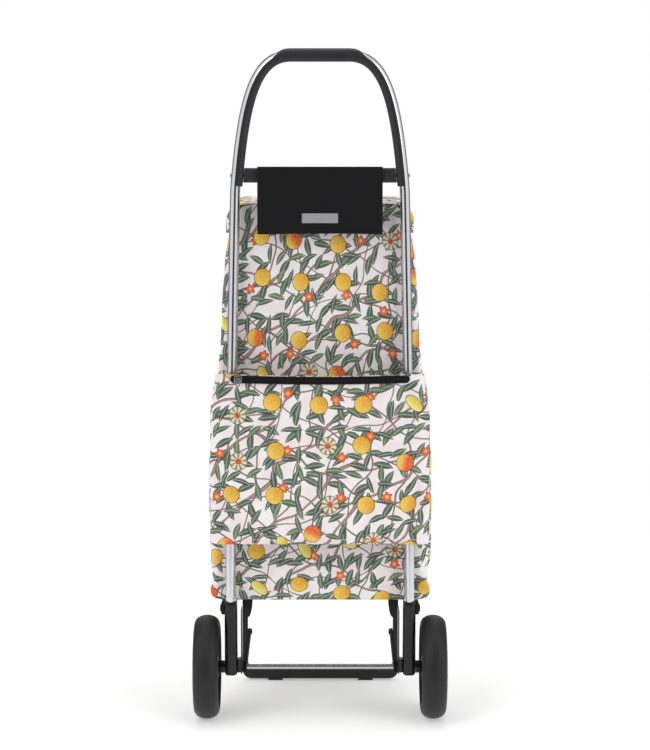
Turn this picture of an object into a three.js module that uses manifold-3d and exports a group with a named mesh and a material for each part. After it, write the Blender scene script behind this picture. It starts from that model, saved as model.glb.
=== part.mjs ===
// Two-wheeled shopping trolley: an arched oval-tube frame, a folding front stand, and a fabric bag
// that hangs from the crossbar and rests on the stand's platform. Millimetres, +Z up, user side -Y.

import * as THREE from 'three';
import { mergeVertices } from 'three/addons/utils/BufferGeometryUtils.js';
import Module from 'manifold-3d';

const wasm = await Module();
wasm.setup();

// ---------------------------------------------------------------- driving dimensions
const GAP = 0.3; // between pieces that touch
const RUNNING = 0.3; // radial clearance of a turning fit

// Frame tube: an oval tube bent into one long arch
const HEIGHT = 1059; // floor to the top of the handle
const TUBE_W = 16; // across the trolley
const TUBE_D = 22; // front to back
const TUBE_WALL = 1.5;
const UPRIGHT_LOW = 141.5; // half spacing of the uprights at the axle
const UPRIGHT_TOP = 131.3; // half spacing where the arch begins
const TAPER_RISE = 11; // above the sleeves, where the uprights begin to lean together
const ARCH_DROP = 217; // from the handle's top to the start of the arch
const ARCH_FLAT = 45; // half length of the straight top
const ARCH_PULL = 60; // how far the bend draws on out from the straight top
const ARCH_LEAN = [11, 80]; // the bend's lower handle: inward, and below the straight top
const LEAN_START = [3.5, 120]; // the lean's upper handle: outward, and below the arch
const LEAN_END = 200; // the lean's lower handle above its end

// Handle
const GRIP_INSIDE = 2.8; // grip thickness inside the arch
const GRIP_SIDE = 2.2; // grip thickness on the front and back
const GRIP_COVER = 2; // thickness of the top cover over the tube
const GRIP_EDGE = 1.5; // how far past the tube's middle the grip reaches
const GRIP_END = 210; // grip length below the handle's top
const COVER_HALF = 56; // half length of the top cover
const CROSSBAR_DROP = 195; // handle top to the crossbar's middle
const CROSSBAR_H = 22.4;
const CROSSBAR_D = 16;
const CROSSBAR_ROUND = 4;
const GRIP_ROUND = [2.4, 3, 8]; // grip's inner corners: depth cut, first and last width cut
const GRIP_FLANK = 4; // how far inward the grip's sides stay flat
const COVER_ROUND = [2.6, 7]; // cover's corners: depth cut and width cut
const SCREW_R = 2.2;
const SCREW_HEAD_R = 4;
const SCREW_HEAD_T = 1.2;
const SCREW_LENGTH = 34;

// Wheels and axle
const WHEEL_R = 82.5;
const WHEEL_W = 40;
const TYRE_H = 16.5; // from the rim to the tread
const RIM_WALL = 6;
const RIM_RECESS = 5; // rim edge behind the tyre's side
const HUB_R = 17;
const HUB_INSET = 2; // hub face behind the tyre's side
const DISC_T = 6;
const BUSH_WALL = 4;
const AXLE_R = 4;
const CAP_R = 15;
const CAP_T = 3;
const WINDOW_R = 9;
const WINDOWS = 6;
const WHEEL_FACETS = 36; // the same on the rim and the tyre, so their gap stays even all round
const WHEEL_STANDOFF = 8.25; // bracket's outer face to the wheel's inner face

// Axle brackets
const SLEEVE_WALL = 2.25;
const SLEEVE_TOP = 106.5; // sleeve top above the axle
const TUBE_SEAT = 18; // tube's end above the axle
const CHEEK_T = 2.5;
const CHEEK_GAP = 5.25; // slot between the sleeve and its cheek
const CHEEK_TOP = 97;
const CHEEK_D = 22;

// Folding stand
const PIVOT_LIFT = 95.5; // platform pivot above the axle
const STAND_REACH = 225; // rear pivots to front pivots
const RAIL_T = 4.7;
const RAIL_H = 10;
const EYE_R = 10.5;
const FRONT_BAR_T = 5;
const LUG_T = 4;
const LUG_R = 7;
const PIN_R = 3;
const PIN_HEAD_R = 6;
const PIN_HEAD_T = 1.7;
const LEG_W = 9;
const LEG_D = 14;
const LEG_STEP = 0.25; // leg's outer face inside the sleeve's inner face
const LEG_ROUND = [14, 6]; // foot's outer and inner corner radii
const FOOT_BAR_H = 20;
const LINK_T = 4.5;
const LINK_H = 10;
const LINK_HUB_R = 9;
const PAD_W = 24.5;
const PAD_D = 14;
const PAD_H = 3;
const PAD_SPACING = 76; // half spacing of the two pads
const SLATS = 3;
const SLAT_W = 26;
const SLAT_T = 4;
const SLAT_DROP = 1; // slat's top below the bag
const SLAT_FIRST = 74;
const SLAT_PITCH = 46;

// Bag
const CLOTH = 3; // thickness that a soft wall is given
const BAG_CLEAR = 0.75; // back panel behind the sleeves
const BAG_DEPTH = 226;
const BAG_LIFT = 8; // bag's bottom above the platform pivot
const BAG_RIM = 53; // rim below the crossbar's underside
const BACK_TAB = 33.8; // back panel's top below the crossbar's underside
const BACK_TAB_INSET = 13.3; // tab's edge inside the uprights' top spacing
const BAG_SWELL = 35.5; // widest half of the bag outside the uprights
const BAG_FOOT = [15, 5, 6, 0.08]; // bottom corner: two width steps, first rise, share of height
const BOARD_T = 2.7;
const BOARD_INSET = 20.5; // board's edge inside the uprights
const BOARD_BACK = 27; // board's rear edge in front of the uprights' middle plane
const LID_OUT = 16.7; // lid's side outside the uprights' top spacing
// Lid's bend: inward and below its top, and how much of the wall each takes sideways and down
const LID_ROUND = [[1.5, 20, 1, 0], [5, 9, 1, 0.5], [18, 2, 0.5, 1]];
const LID_FLAT = 30; // inside the tab's edge, where the lid is flat
const LID_SKIRT = 46;
const LID_DROP = 120;
const LID_LOOSE = 3; // room between the lid and the bag

// Rear pocket and its zip
const POCKET_OUT = 30.5; // pocket's side outside the uprights
const POCKET_ROUND = 12;
const FLANGE_SPAN = [5, 2]; // flange's faces inside the pocket's side
const POCKET_LIFT = 100; // pocket's bottom above the bag's bottom
const POCKET_H = 271;
const POCKET_ROOM = 12; // space inside, front to back
const POCKET_WALL = 2.5;
const ZIP_HALF = 140;
const ZIP_H = 13;
const ZIP_T = 1.7;
const SLIDER_W = 12;
const SLIDER_H = 9;
const SLIDER_T = 2.7;
const SLIDER_END = 12.5; // slider's middle from the tape's end
const PULL_W = 6;
const PULL_L = 14;
const PULL_T = 2;

// Hanger over the crossbar
const FLAP_HALF = 97;
const FLAP_LENGTH = 103;
const FLAP_T = 1.6;
const STRAP_T = 1.6;
const STRAP_TAIL = 42; // strap's end below the top of the bag's back panel
const LABEL_HALF = 28;
const LABEL_H = 15;
const LABEL_LIFT = 24; // label's middle above the flap's lower edge
const LABEL_T = 0.6;

// ---------------------------------------------------------------- derived sizes
const axleZ = WHEEL_R;
const rimR = WHEEL_R - TYRE_H;
const taperStart = axleZ + SLEEVE_TOP + TAPER_RISE;
const tubeTopZ = HEIGHT - GRIP_COVER - TUBE_W / 2; // middle of the tube along the handle's top
const archZ = HEIGHT - ARCH_DROP;
const crossbarZ = HEIGHT - CROSSBAR_DROP;
const crossbarLow = crossbarZ - CROSSBAR_H / 2;
const crossbarHigh = crossbarZ + CROSSBAR_H / 2;
const sleeveHalf = TUBE_W / 2 + SLEEVE_WALL;
const sleeveDepth = TUBE_D / 2 + SLEEVE_WALL;
const sleeveOut = UPRIGHT_LOW + sleeveHalf;
const sleeveIn = UPRIGHT_LOW - sleeveHalf;
const cheekOut = sleeveIn - CHEEK_GAP;
const cheekIn = cheekOut - CHEEK_T;
const wheelIn = sleeveOut + WHEEL_STANDOFF;
const wheelMid = wheelIn + WHEEL_W / 2;
const hubIn = wheelIn + HUB_INSET;
const hubOut = wheelIn + WHEEL_W - HUB_INSET;
const bushR = AXLE_R + RUNNING;
const pivotZ = axleZ + PIVOT_LIFT;
const railIn = sleeveOut + GAP;
const railOut = railIn + RAIL_T;
const legOut = sleeveIn - LEG_STEP;
const legIn = legOut - LEG_W;
const linkOut = legIn - 2 * GAP;
const linkIn = linkOut - LINK_T;
const linkHubOut = cheekIn - GAP;
const frontBarY = STAND_REACH + LEG_D / 2 + 1;
const standFront = frontBarY + FRONT_BAR_T;
const bagLow = pivotZ + BAG_LIFT;
const bagRim = crossbarLow - BAG_RIM;
const backTop = crossbarLow - BACK_TAB;
const bagBack = sleeveDepth + BAG_CLEAR;
const bagFront = bagBack + BAG_DEPTH;
const bagHalf = UPRIGHT_LOW + BAG_SWELL;
const lidHalf = UPRIGHT_TOP + LID_OUT;
const bagTopHalf = lidHalf - LID_LOOSE - CLOTH;
const tabHalf = UPRIGHT_TOP - BACK_TAB_INSET;
const pocketHalf = UPRIGHT_LOW + POCKET_OUT;
const pocketLow = bagLow + POCKET_LIFT;
const pocketTop = pocketLow + POCKET_H;
const pocketIn = -TUBE_D / 2 - 1.5; // face of the pocket next to the tubes
const pocketOut = pocketIn - 2 * POCKET_WALL - POCKET_ROOM;
const lidTop = backTop + 2;
const lidFront = bagFront + LID_LOOSE + CLOTH;
const strapBack = CROSSBAR_D / 2 + GAP;
const sides = [['left', -1], ['right', 1]];

// ---------------------------------------------------------------- finishes
const finish = (color, roughness, metalness) =>
  new THREE.MeshStandardMaterial({ color, roughness, metalness });
const ALUMINIUM = finish(0xd8d9db, 0.28, 1);
const STEEL = finish(0xc4c6c9, 0.22, 1);
const GRIP_PLASTIC = finish(0x3a3a3d, 0.5, 0);
const BLACK_PLASTIC = finish(0x1b1b1e, 0.35, 0);
const BLACK_STEEL = finish(0x202022, 0.4, 0.4);
const RUBBER = finish(0x3c3c3e, 0.75, 0);
const PRINTED_CLOTH = finish(0xeee4dd, 0.85, 0);
const BLACK_CLOTH = finish(0x232024, 0.8, 0);
const ZIP_TAPE = finish(0x18181a, 0.7, 0);
const LABEL_CLOTH = finish(0xcfcfd2, 0.7, 0);
const BOARD = finish(0x8d8a84, 0.8, 0);

// ---------------------------------------------------------------- helpers
const trolley = new THREE.Group(); // its own plane y = 0 is the uprights' middle plane

function place(name, geometry, material) {
  const mesh = new THREE.Mesh(geometry, material);
  mesh.name = name;
  trolley.add(mesh);
  return mesh;
}

function solidOf(geometry) {
  const plain = geometry.clone();
  plain.deleteAttribute('normal');
  plain.deleteAttribute('uv');
  const welded = mergeVertices(plain, 1e-4);
  const vertProperties = new Float32Array(welded.attributes.position.array);
  const triVerts = new Uint32Array(welded.index.array);
  return new wasm.Manifold(new wasm.Mesh({ numProp: 3, vertProperties, triVerts }));
}

function geometryOf(solid) {
  const mesh = solid.getMesh();
  const geometry = new THREE.BufferGeometry();
  geometry.setAttribute('position', new THREE.BufferAttribute(new Float32Array(mesh.vertProperties), 3));
  geometry.setIndex(new THREE.BufferAttribute(new Uint32Array(mesh.triVerts), 1));
  geometry.computeVertexNormals();
  return geometry;
}

const join = (first, ...others) =>
  geometryOf(others.reduce((whole, other) => whole.add(solidOf(other)), solidOf(first)));
const cut = (first, ...others) =>
  geometryOf(others.reduce((whole, other) => whole.subtract(solidOf(other)), solidOf(first)));

function box([x0, x1], [y0, y1], [z0, z1]) {
  const geometry = new THREE.BoxGeometry(Math.abs(x1 - x0), y1 - y0, z1 - z0);
  return geometry.translate((x0 + x1) / 2, (y0 + y1) / 2, (z0 + z1) / 2);
}

// A round bar along X, from x0 to x1, centred on (y, z)
function barX(radius, [x0, x1], y, z, segments = 20) {
  const geometry = new THREE.CylinderGeometry(radius, radius, Math.abs(x1 - x0), segments);
  return geometry.rotateZ(Math.PI / 2).translate((x0 + x1) / 2, y, z);
}

// A turned piece about the X axis; profile points are [radius, x] and close on themselves
function turnX(profile, segments, x, y, z, side = 1) {
  const points = [...profile, profile[0]].map(([r, a]) => new THREE.Vector2(r, a));
  const geometry = new THREE.LatheGeometry(points, segments);
  return geometry.rotateZ(-side * Math.PI / 2).translate(x, y, z);
}

// A flat outline of [y, z] points extruded along X
function plateX(outline, [x0, x1]) {
  const shape = new THREE.Shape(outline.map(([y, z]) => new THREE.Vector2(y, z)));
  const depth = Math.abs(x1 - x0);
  const geometry = new THREE.ExtrudeGeometry(shape, { depth, bevelEnabled: false });
  // shape x -> Y, shape y -> Z, extrusion -> X
  geometry.applyMatrix4(new THREE.Matrix4().makeBasis(
    new THREE.Vector3(0, 1, 0), new THREE.Vector3(0, 0, 1), new THREE.Vector3(1, 0, 0)));
  return geometry.translate(Math.min(x0, x1), 0, 0);
}

// A flat outline of [x, z] points extruded along Y
function plateY(outline, [y0, y1]) {
  const shape = new THREE.Shape(outline.map(([x, z]) => new THREE.Vector2(x, z)));
  const geometry = new THREE.ExtrudeGeometry(shape, { depth: y1 - y0, bevelEnabled: false });
  // shape x -> X, shape y -> Z, extrusion -> -Y
  geometry.applyMatrix4(new THREE.Matrix4().makeBasis(
    new THREE.Vector3(1, 0, 0), new THREE.Vector3(0, 0, 1), new THREE.Vector3(0, -1, 0)));
  return geometry.translate(0, y1, 0);
}

// Points on an arc about (a, b), angles in degrees
function arc(a, b, radius, from, to, steps) {
  return Array.from({ length: steps + 1 }, (_, i) => {
    const angle = THREE.MathUtils.degToRad(from + ((to - from) * i) / steps);
    return [a + radius * Math.cos(angle), b + radius * Math.sin(angle)];
  });
}

const mirrored = (half) => [...half, ...[...half].reverse().map(([x, z]) => [-x, z])];

// The outline of a link with two round ends, seen along X
const linkOutline = ([y0, z0, r0], [y1, z1, r1]) =>
  [...arc(y0, z0, r0, 90, 270, 10), ...arc(y1, z1, r1, -90, 90, 10)];

// A curve through given stations, so that straight stretches take few of them
class StationCurve extends THREE.Curve {
  constructor(stations) {
    super();
    this.stations = stations;
  }

  getPoint(t, target = new THREE.Vector3()) {
    const last = this.stations.length - 1;
    const at = Math.min(Math.max(t, 0), 1) * last;
    const i = Math.min(Math.floor(at), last - 1);
    return target.lerpVectors(this.stations[i], this.stations[i + 1], at - i);
  }

  getPointAt(u, target) {
    return this.getPoint(u, target);
  }

  getTangentAt(u, target = new THREE.Vector3()) {
    const last = this.stations.length - 1;
    const i = Math.round(u * last);
    const before = this.stations[Math.max(i - 1, 0)];
    const after = this.stations[Math.min(i + 1, last)];
    return target.subVectors(after, before).normalize();
  }
}

// ---------------------------------------------------------------- the frame's centre line
const at = (x, z) => new THREE.Vector3(x, 0, z);
const archCurve = new THREE.CubicBezierCurve3(
  at(ARCH_FLAT, tubeTopZ), at(ARCH_FLAT + ARCH_PULL, tubeTopZ),
  at(UPRIGHT_TOP - ARCH_LEAN[0], tubeTopZ - ARCH_LEAN[1]), at(UPRIGHT_TOP, archZ));
const leanCurve = new THREE.CubicBezierCurve3(
  at(UPRIGHT_TOP, archZ), at(UPRIGHT_TOP + LEAN_START[0], archZ - LEAN_START[1]),
  at(UPRIGHT_LOW, taperStart + LEAN_END), at(UPRIGHT_LOW, taperStart));
const tubeEnd = axleZ + TUBE_SEAT + GAP;

function halfStations(lowZ, archSteps, leanSteps) {
  const arch = archCurve.getPoints(archSteps);
  if (lowZ >= archZ) return [...arch.filter((p) => p.z > lowZ + 1), at(leanOffset(lowZ), lowZ)];
  return [...arch, ...leanCurve.getPoints(leanSteps).slice(1), at(UPRIGHT_LOW, lowZ)];
}

function wholePath(half) {
  const left = half.map((p) => at(-p.x, p.z)).reverse();
  return new StationCurve([...left, ...half]);
}

function sweep(outline, path, hole) {
  const shape = new THREE.Shape(outline.map(([d, inward]) => new THREE.Vector2(d, inward)));
  if (hole) shape.holes = [new THREE.Path(hole.map(([d, inward]) => new THREE.Vector2(d, inward)))];
  return new THREE.ExtrudeGeometry(shape, { steps: path.stations.length - 1, extrudePath: path });
}

// Section points are [front-to-back, inward]
const ovalSection = (grow, count = 12) => Array.from({ length: count }, (_, i) => {
  const angle = (2 * Math.PI * i) / count;
  return [(TUBE_D / 2 + grow) * Math.sin(angle), (TUBE_W / 2 + grow) * Math.cos(angle)];
});

// ---------------------------------------------------------------- frame
function buildFrame() {
  const tubePath = wholePath(halfStations(tubeEnd, 10, 5));
  place('frame_tube', sweep(ovalSection(0), tubePath, ovalSection(-TUBE_WALL).reverse()), ALUMINIUM);

  // The grip is a channel that opens outward, so the tube's outer side stays bare
  const fitD = TUBE_D / 2 + GAP;
  const fitW = TUBE_W / 2 + GAP;
  const lip = Math.acos(-GRIP_EDGE / fitW);
  const channel = Array.from({ length: 11 }, (_, i) => {
    const angle = -lip + (2 * lip * i) / 10;
    return [fitD * Math.sin(angle), fitW * Math.cos(angle)];
  });
  const sideD = TUBE_D / 2 + GRIP_SIDE;
  const inner = TUBE_W / 2 + GRIP_INSIDE;
  const [cornerCut, cornerStart, cornerEnd] = GRIP_ROUND;
  const flank = [
    [sideD, -GRIP_EDGE], [sideD, GRIP_FLANK], [sideD - cornerStart, inner - cornerCut],
    [sideD - cornerEnd, inner],
  ];
  const gripSection = [...mirrored(flank), ...channel];
  const gripHalf = halfStations(HEIGHT - GRIP_END, 10, 5);
  place('handle_grip', sweep(gripSection, wholePath(gripHalf)), GRIP_PLASTIC);

  // The cover closes the channel along the top of the handle
  const coverEdge = GRIP_EDGE + GAP;
  const coverLip = Math.acos(coverEdge / fitW);
  const coverInside = Array.from({ length: 9 }, (_, i) => {
    const angle = -coverLip + (2 * coverLip * i) / 8;
    return [-fitD * Math.sin(angle), -fitW * Math.cos(angle)];
  });
  const outer = TUBE_W / 2 + GRIP_COVER;
  const [coverCut, coverEnd] = COVER_ROUND;
  const coverFlank = [[-sideD, -coverEdge], [coverCut - sideD, coverCut - outer], [coverEnd - sideD, -outer]];
  const coverSection = [...coverInside, ...mirrored(coverFlank)];
  const coverHalf = archCurve.getPoints(48).filter((p) => p.x <= COVER_HALF);
  place('handle_top_cover', sweep(coverSection.reverse(), wholePath(coverHalf)), GRIP_PLASTIC);
}

function buildCrossbar() {
  const reach = UPRIGHT_TOP - TUBE_W / 2;
  const r = CROSSBAR_ROUND;
  const y = CROSSBAR_D / 2;
  const section = [
    ...arc(y - r, crossbarHigh - r, r, 0, 90, 4), ...arc(r - y, crossbarHigh - r, r, 90, 180, 4),
    ...arc(r - y, crossbarLow + r, r, 180, 270, 4), ...arc(y - r, crossbarLow + r, r, 270, 360, 4),
  ];
  const bar = plateX(section, [-reach, reach]);
  const keepOut = [
    [TUBE_D, -TUBE_W], [TUBE_D, TUBE_W / 2 + GRIP_INSIDE + GAP],
    [-TUBE_D, TUBE_W / 2 + GRIP_INSIDE + GAP], [-TUBE_D, -TUBE_W],
  ];
  const screwHole = barX(SCREW_R + GAP, [-reach - 1, reach + 1], 0, crossbarZ, 12);
  const gripRoom = sweep(keepOut, wholePath(halfStations(archZ, 10, 5)));
  place('handle_crossbar', cut(bar, gripRoom, screwHole), BLACK_PLASTIC);

  // One screw from each side, through the tube and the grip and into the bar
  const tube = trolley.getObjectByName('frame_tube');
  const grip = trolley.getObjectByName('handle_grip');
  const through = barX(SCREW_R + GAP, [-2 * UPRIGHT_LOW, 2 * UPRIGHT_LOW], 0, crossbarZ, 12);
  tube.geometry = cut(tube.geometry, through);
  grip.geometry = cut(grip.geometry, through);
  const seat = leanOffset(crossbarZ) + TUBE_W / 2;
  for (const [name, side] of sides) {
    const headIn = seat + 2 * GAP;
    const shank = barX(SCREW_R, [side * (seat - SCREW_LENGTH), side * (headIn + SCREW_HEAD_T / 2)], 0, crossbarZ, 12);
    const head = barX(SCREW_HEAD_R, [side * headIn, side * (headIn + SCREW_HEAD_T)], 0, crossbarZ, 16);
    place(`crossbar_screw_${name}`, join(head, shank), STEEL);
  }
}

// Half spacing of the uprights at a height
function leanOffset(z) {
  const curve = z > archZ ? archCurve : leanCurve;
  const points = curve.getPoints(200);
  return points.reduce((best, p) => (Math.abs(p.z - z) < Math.abs(best.z - z) ? p : best)).x;
}

// ---------------------------------------------------------------- axle, brackets and wheels
function buildBrackets() {
  const top = axleZ + SLEEVE_TOP;
  for (const [name, side] of sides) {
    const sleeve = plateX(
      [...arc(0, axleZ, sleeveDepth, 180, 360, 14), [sleeveDepth, top], [-sleeveDepth, top]],
      [side * sleeveIn, side * sleeveOut]);
    const cheek = plateX(
      arc(0, axleZ, CHEEK_D / 2, 0, 345, 23), [side * cheekIn, side * cheekOut]);
    const cheekTop = box([side * cheekIn, side * cheekOut], [-CHEEK_D / 2, CHEEK_D / 2], [axleZ, axleZ + CHEEK_TOP]);
    const web = box([side * (cheekOut - 1), side * (sleeveIn + 1)], [-CHEEK_D / 2 + 2, CHEEK_D / 2 - 2],
      [axleZ - 8, axleZ + TUBE_SEAT - 4]);
    const seatPath = new StationCurve([at(side * UPRIGHT_LOW, axleZ + TUBE_SEAT), at(side * UPRIGHT_LOW, top + 1)]);
    const seat = sweep(ovalSection(GAP), seatPath);
    const axleBore = barX(AXLE_R + GAP, [side * (cheekIn - 1), side * (sleeveOut + 1)], 0, axleZ, 16);
    const pinBore = barX(PIN_R + GAP, [side * UPRIGHT_LOW, side * (sleeveOut + 1)], 0, pivotZ, 16);
    const body = join(sleeve, cheek, cheekTop, web);
    place(`axle_bracket_${name}`, cut(body, seat, axleBore, pinBore), BLACK_PLASTIC);
  }
}

function buildAxle() {
  const end = hubOut - 2;
  place('axle_rod', barX(AXLE_R, [-end, end], 0, axleZ, 20), STEEL);
  for (const [name, side] of sides) {
    const x0 = sleeveOut + GAP;
    const x1 = hubIn - GAP;
    const spacer = turnX([[bushR, x0], [AXLE_R + BUSH_WALL + 2, x0], [AXLE_R + BUSH_WALL + 2, x1], [bushR, x1]],
      20, 0, 0, axleZ, side);
    place(`axle_spacer_${name}`, spacer, BLACK_PLASTIC);
  }
}

function buildWheel(name, side) {
  const w = WHEEL_W / 2;
  const rimEdge = w - RIM_RECESS;
  const hubHalf = w - HUB_INSET;
  const boreR = bushR + BUSH_WALL + GAP;
  const innerR = rimR - RIM_WALL;
  const rim = turnX([
    [boreR, -hubHalf], [HUB_R - 1, -hubHalf], [HUB_R, -DISC_T / 2], [innerR - 2, -DISC_T / 2], [innerR, -rimEdge],
    [rimR, -rimEdge], [rimR, rimEdge], [innerR, rimEdge], [innerR - 2, DISC_T / 2], [HUB_R, DISC_T / 2],
    [HUB_R - 1, hubHalf], [boreR, hubHalf],
  ], WHEEL_FACETS, side * wheelMid, 0, axleZ, side);
  const windowRing = (HUB_R + innerR) / 2;
  const windows = Array.from({ length: WINDOWS }, (_, i) => {
    const angle = (2 * Math.PI * i) / WINDOWS;
    return barX(WINDOW_R, [side * (wheelMid - DISC_T), side * (wheelMid + DISC_T)],
      windowRing * Math.sin(angle), axleZ + windowRing * Math.cos(angle), 8);
  });
  place(`wheel_rim_${name}`, cut(rim, ...windows), BLACK_PLASTIC);

  const seatR = rimR + GAP;
  const tyre = turnX([
    [seatR, -rimEdge], [seatR + 6, -w + 1.2], [WHEEL_R - 7, -w], [WHEEL_R - 2.4, -w + 3.6], [WHEEL_R, -w + 10],
    [WHEEL_R, w - 10], [WHEEL_R - 2.4, w - 3.6], [WHEEL_R - 7, w], [seatR + 6, w - 1.2], [seatR, rimEdge],
  ], WHEEL_FACETS, side * wheelMid, 0, axleZ, side);
  place(`tyre_${name}`, tyre, RUBBER);

  const bushOut = bushR + BUSH_WALL;
  const bush = turnX([[bushR, -hubHalf], [bushOut, -hubHalf], [bushOut, hubHalf], [bushR, hubHalf]],
    20, side * wheelMid, 0, axleZ, side);
  place(`wheel_bush_${name}`, bush, BLACK_PLASTIC);

  const capIn = hubOut + GAP;
  const cap = turnX([
    [0, capIn], [CAP_R, capIn], [CAP_R - 1.2, capIn + CAP_T - 1], [6, capIn + CAP_T], [0, capIn + CAP_T],
  ], 24, 0, 0, axleZ, side);
  place(`wheel_cap_${name}`, cap, BLACK_PLASTIC);
}

// ---------------------------------------------------------------- folding stand
function buildPlatform() {
  const railOf = (side) => plateX(
    [...arc(0, pivotZ, EYE_R, 60, 300, 12), [EYE_R, pivotZ - RAIL_H / 2], [standFront, pivotZ - RAIL_H / 2],
      [standFront, pivotZ + RAIL_H / 2], [EYE_R, pivotZ + RAIL_H / 2]],
    [side * railIn, side * railOut]);
  const frontBar = box([-railOut, railOut], [frontBarY, standFront],
    [pivotZ - RAIL_H / 2, pivotZ + RAIL_H / 2]);
  const lugIn = legOut + GAP;
  const lugOf = (side) => plateX(
    [...arc(STAND_REACH, pivotZ, LUG_R, 90, 270, 10), [frontBarY + 1, pivotZ - RAIL_H / 2],
      [frontBarY + 1, pivotZ + RAIL_H / 2]],
    [side * lugIn, side * (lugIn + LUG_T)]);
  const eyeHoles = sides.map(([, side]) =>
    barX(PIN_R + RUNNING, [side * (railIn - 1), side * (railOut + 1)], 0, pivotZ, 16));
  const lugHoles = sides.map(([, side]) =>
    barX(PIN_R + RUNNING, [side * (lugIn - 1), side * (lugIn + LUG_T + 1)], STAND_REACH, pivotZ, 16));
  const body = join(frontBar, railOf(-1), railOf(1), lugOf(-1), lugOf(1));
  place('platform_frame', cut(body, ...eyeHoles, ...lugHoles), BLACK_STEEL);

  for (let i = 0; i < SLATS; i += 1) {
    const y = SLAT_FIRST + i * SLAT_PITCH;
    const slat = box([-railIn + GAP, railIn - GAP], [y - SLAT_W / 2, y + SLAT_W / 2],
      [bagLow - SLAT_DROP - SLAT_T, bagLow - SLAT_DROP]);
    place(`platform_slat_${i + 1}`, slat, BLACK_STEEL);
  }

  for (const [name, side] of sides) {
    const rear = join(
      barX(PIN_R, [side * (UPRIGHT_LOW + TUBE_W / 2 + GAP), side * (railOut + 1)], 0, pivotZ, 14),
      barX(PIN_HEAD_R, [side * (railOut + GAP), side * (railOut + GAP + PIN_HEAD_T)], 0, pivotZ, 18));
    place(`platform_pivot_pin_${name}`, rear, STEEL);
    const lugOut = lugIn + LUG_T;
    const front = join(
      barX(PIN_R, [side * (legIn - 1), side * (lugOut + 1)], STAND_REACH, pivotZ, 14),
      barX(PIN_HEAD_R - 1, [side * (lugOut + GAP), side * (lugOut + GAP + PIN_HEAD_T)], STAND_REACH, pivotZ, 18),
      barX(PIN_HEAD_R - 1, [side * (legIn - GAP - PIN_HEAD_T), side * (legIn - GAP)], STAND_REACH, pivotZ, 18));
    place(`stand_pivot_pin_${name}`, front, STEEL);
  }
}

function buildStandFoot() {
  const z0 = PAD_H + GAP;
  const [outR, inR] = LEG_ROUND;
  const outer = [
    ...arc(legOut - outR, z0 + outR, outR, -90, 0, 5), [legOut, pivotZ],
  ];
  const inner = [
    [legIn, pivotZ], ...arc(legIn - inR, z0 + FOOT_BAR_H + inR, inR, 0, -90, 3),
  ];
  const u = plateY(mirrored([...outer, ...inner]), [STAND_REACH - LEG_D / 2, STAND_REACH + LEG_D / 2]);
  const rounds = sides.map(([, side]) => barX(LEG_D / 2, [side * legIn, side * legOut], STAND_REACH, pivotZ, 20));
  const holes = sides.flatMap(([, side]) => [
    barX(PIN_R + GAP, [side * (legIn - 1), side * (legOut + 1)], STAND_REACH, pivotZ, 16),
    barX(PIN_R + RUNNING, [side * (legIn - 1), side * (legOut + 1)], STAND_REACH, axleZ, 16)]);
  place('stand_foot', cut(join(u, ...rounds), ...holes), BLACK_PLASTIC);
  for (const [name, side] of sides) {
    const x = side * PAD_SPACING;
    place(`foot_pad_${name}`, box([x - PAD_W / 2, x + PAD_W / 2],
      [STAND_REACH - PAD_D / 2, STAND_REACH + PAD_D / 2], [0, PAD_H]), RUBBER);
  }
}

function buildLinks() {
  for (const [name, side] of sides) {
    const bar = plateX(linkOutline([0, axleZ, LINK_HUB_R], [STAND_REACH, axleZ, LINK_H / 2 + 1]),
      [side * linkIn, side * linkOut]);
    const hub = barX(LINK_HUB_R, [side * linkIn, side * linkHubOut], 0, axleZ, 20);
    const axleHole = barX(AXLE_R + RUNNING, [side * (linkIn - 1), side * (linkHubOut + 1)], 0, axleZ, 16);
    const pinHole = barX(PIN_R + GAP, [side * (linkIn - 1), side * (linkOut + 1)], STAND_REACH, axleZ, 16);
    place(`lower_link_${name}`, cut(join(bar, hub), axleHole, pinHole), BLACK_PLASTIC);
    const pin = join(
      barX(PIN_R, [side * (linkIn - 1), side * (legOut + 1)], STAND_REACH, axleZ, 14),
      barX(PIN_HEAD_R - 1, [side * (linkIn - GAP - PIN_HEAD_T), side * (linkIn - GAP)], STAND_REACH, axleZ, 18),
      barX(PIN_HEAD_R - 1, [side * (legOut + GAP), side * (legOut + GAP + PIN_HEAD_T)], STAND_REACH, axleZ, 18));
    place(`link_pin_${name}`, pin, STEEL);
  }
}

// ---------------------------------------------------------------- bag
// Half of the bag seen from the front: [outside the narrowest part of its top, share of its height]
const BAG_SIDE = [[25, 0.6], [18, 0.68], [14, 0.86], [2, 0.95], [0, 1]];

function bagHalfOutline(inset) {
  const rise = (share) => bagLow + (bagRim - bagLow) * share;
  const [cornerOut, cornerStep, cornerRise, swellShare] = BAG_FOOT;
  const side = BAG_SIDE.map(([out, share]) => [bagTopHalf - 2 + out - inset, rise(share)]);
  return [
    [bagHalf - cornerOut - inset, bagLow + inset], [bagHalf - cornerStep - inset, bagLow + cornerRise + inset],
    [bagHalf - inset, rise(swellShare)], [pocketHalf - inset, rise(0.55)], ...side,
  ];
}

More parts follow.
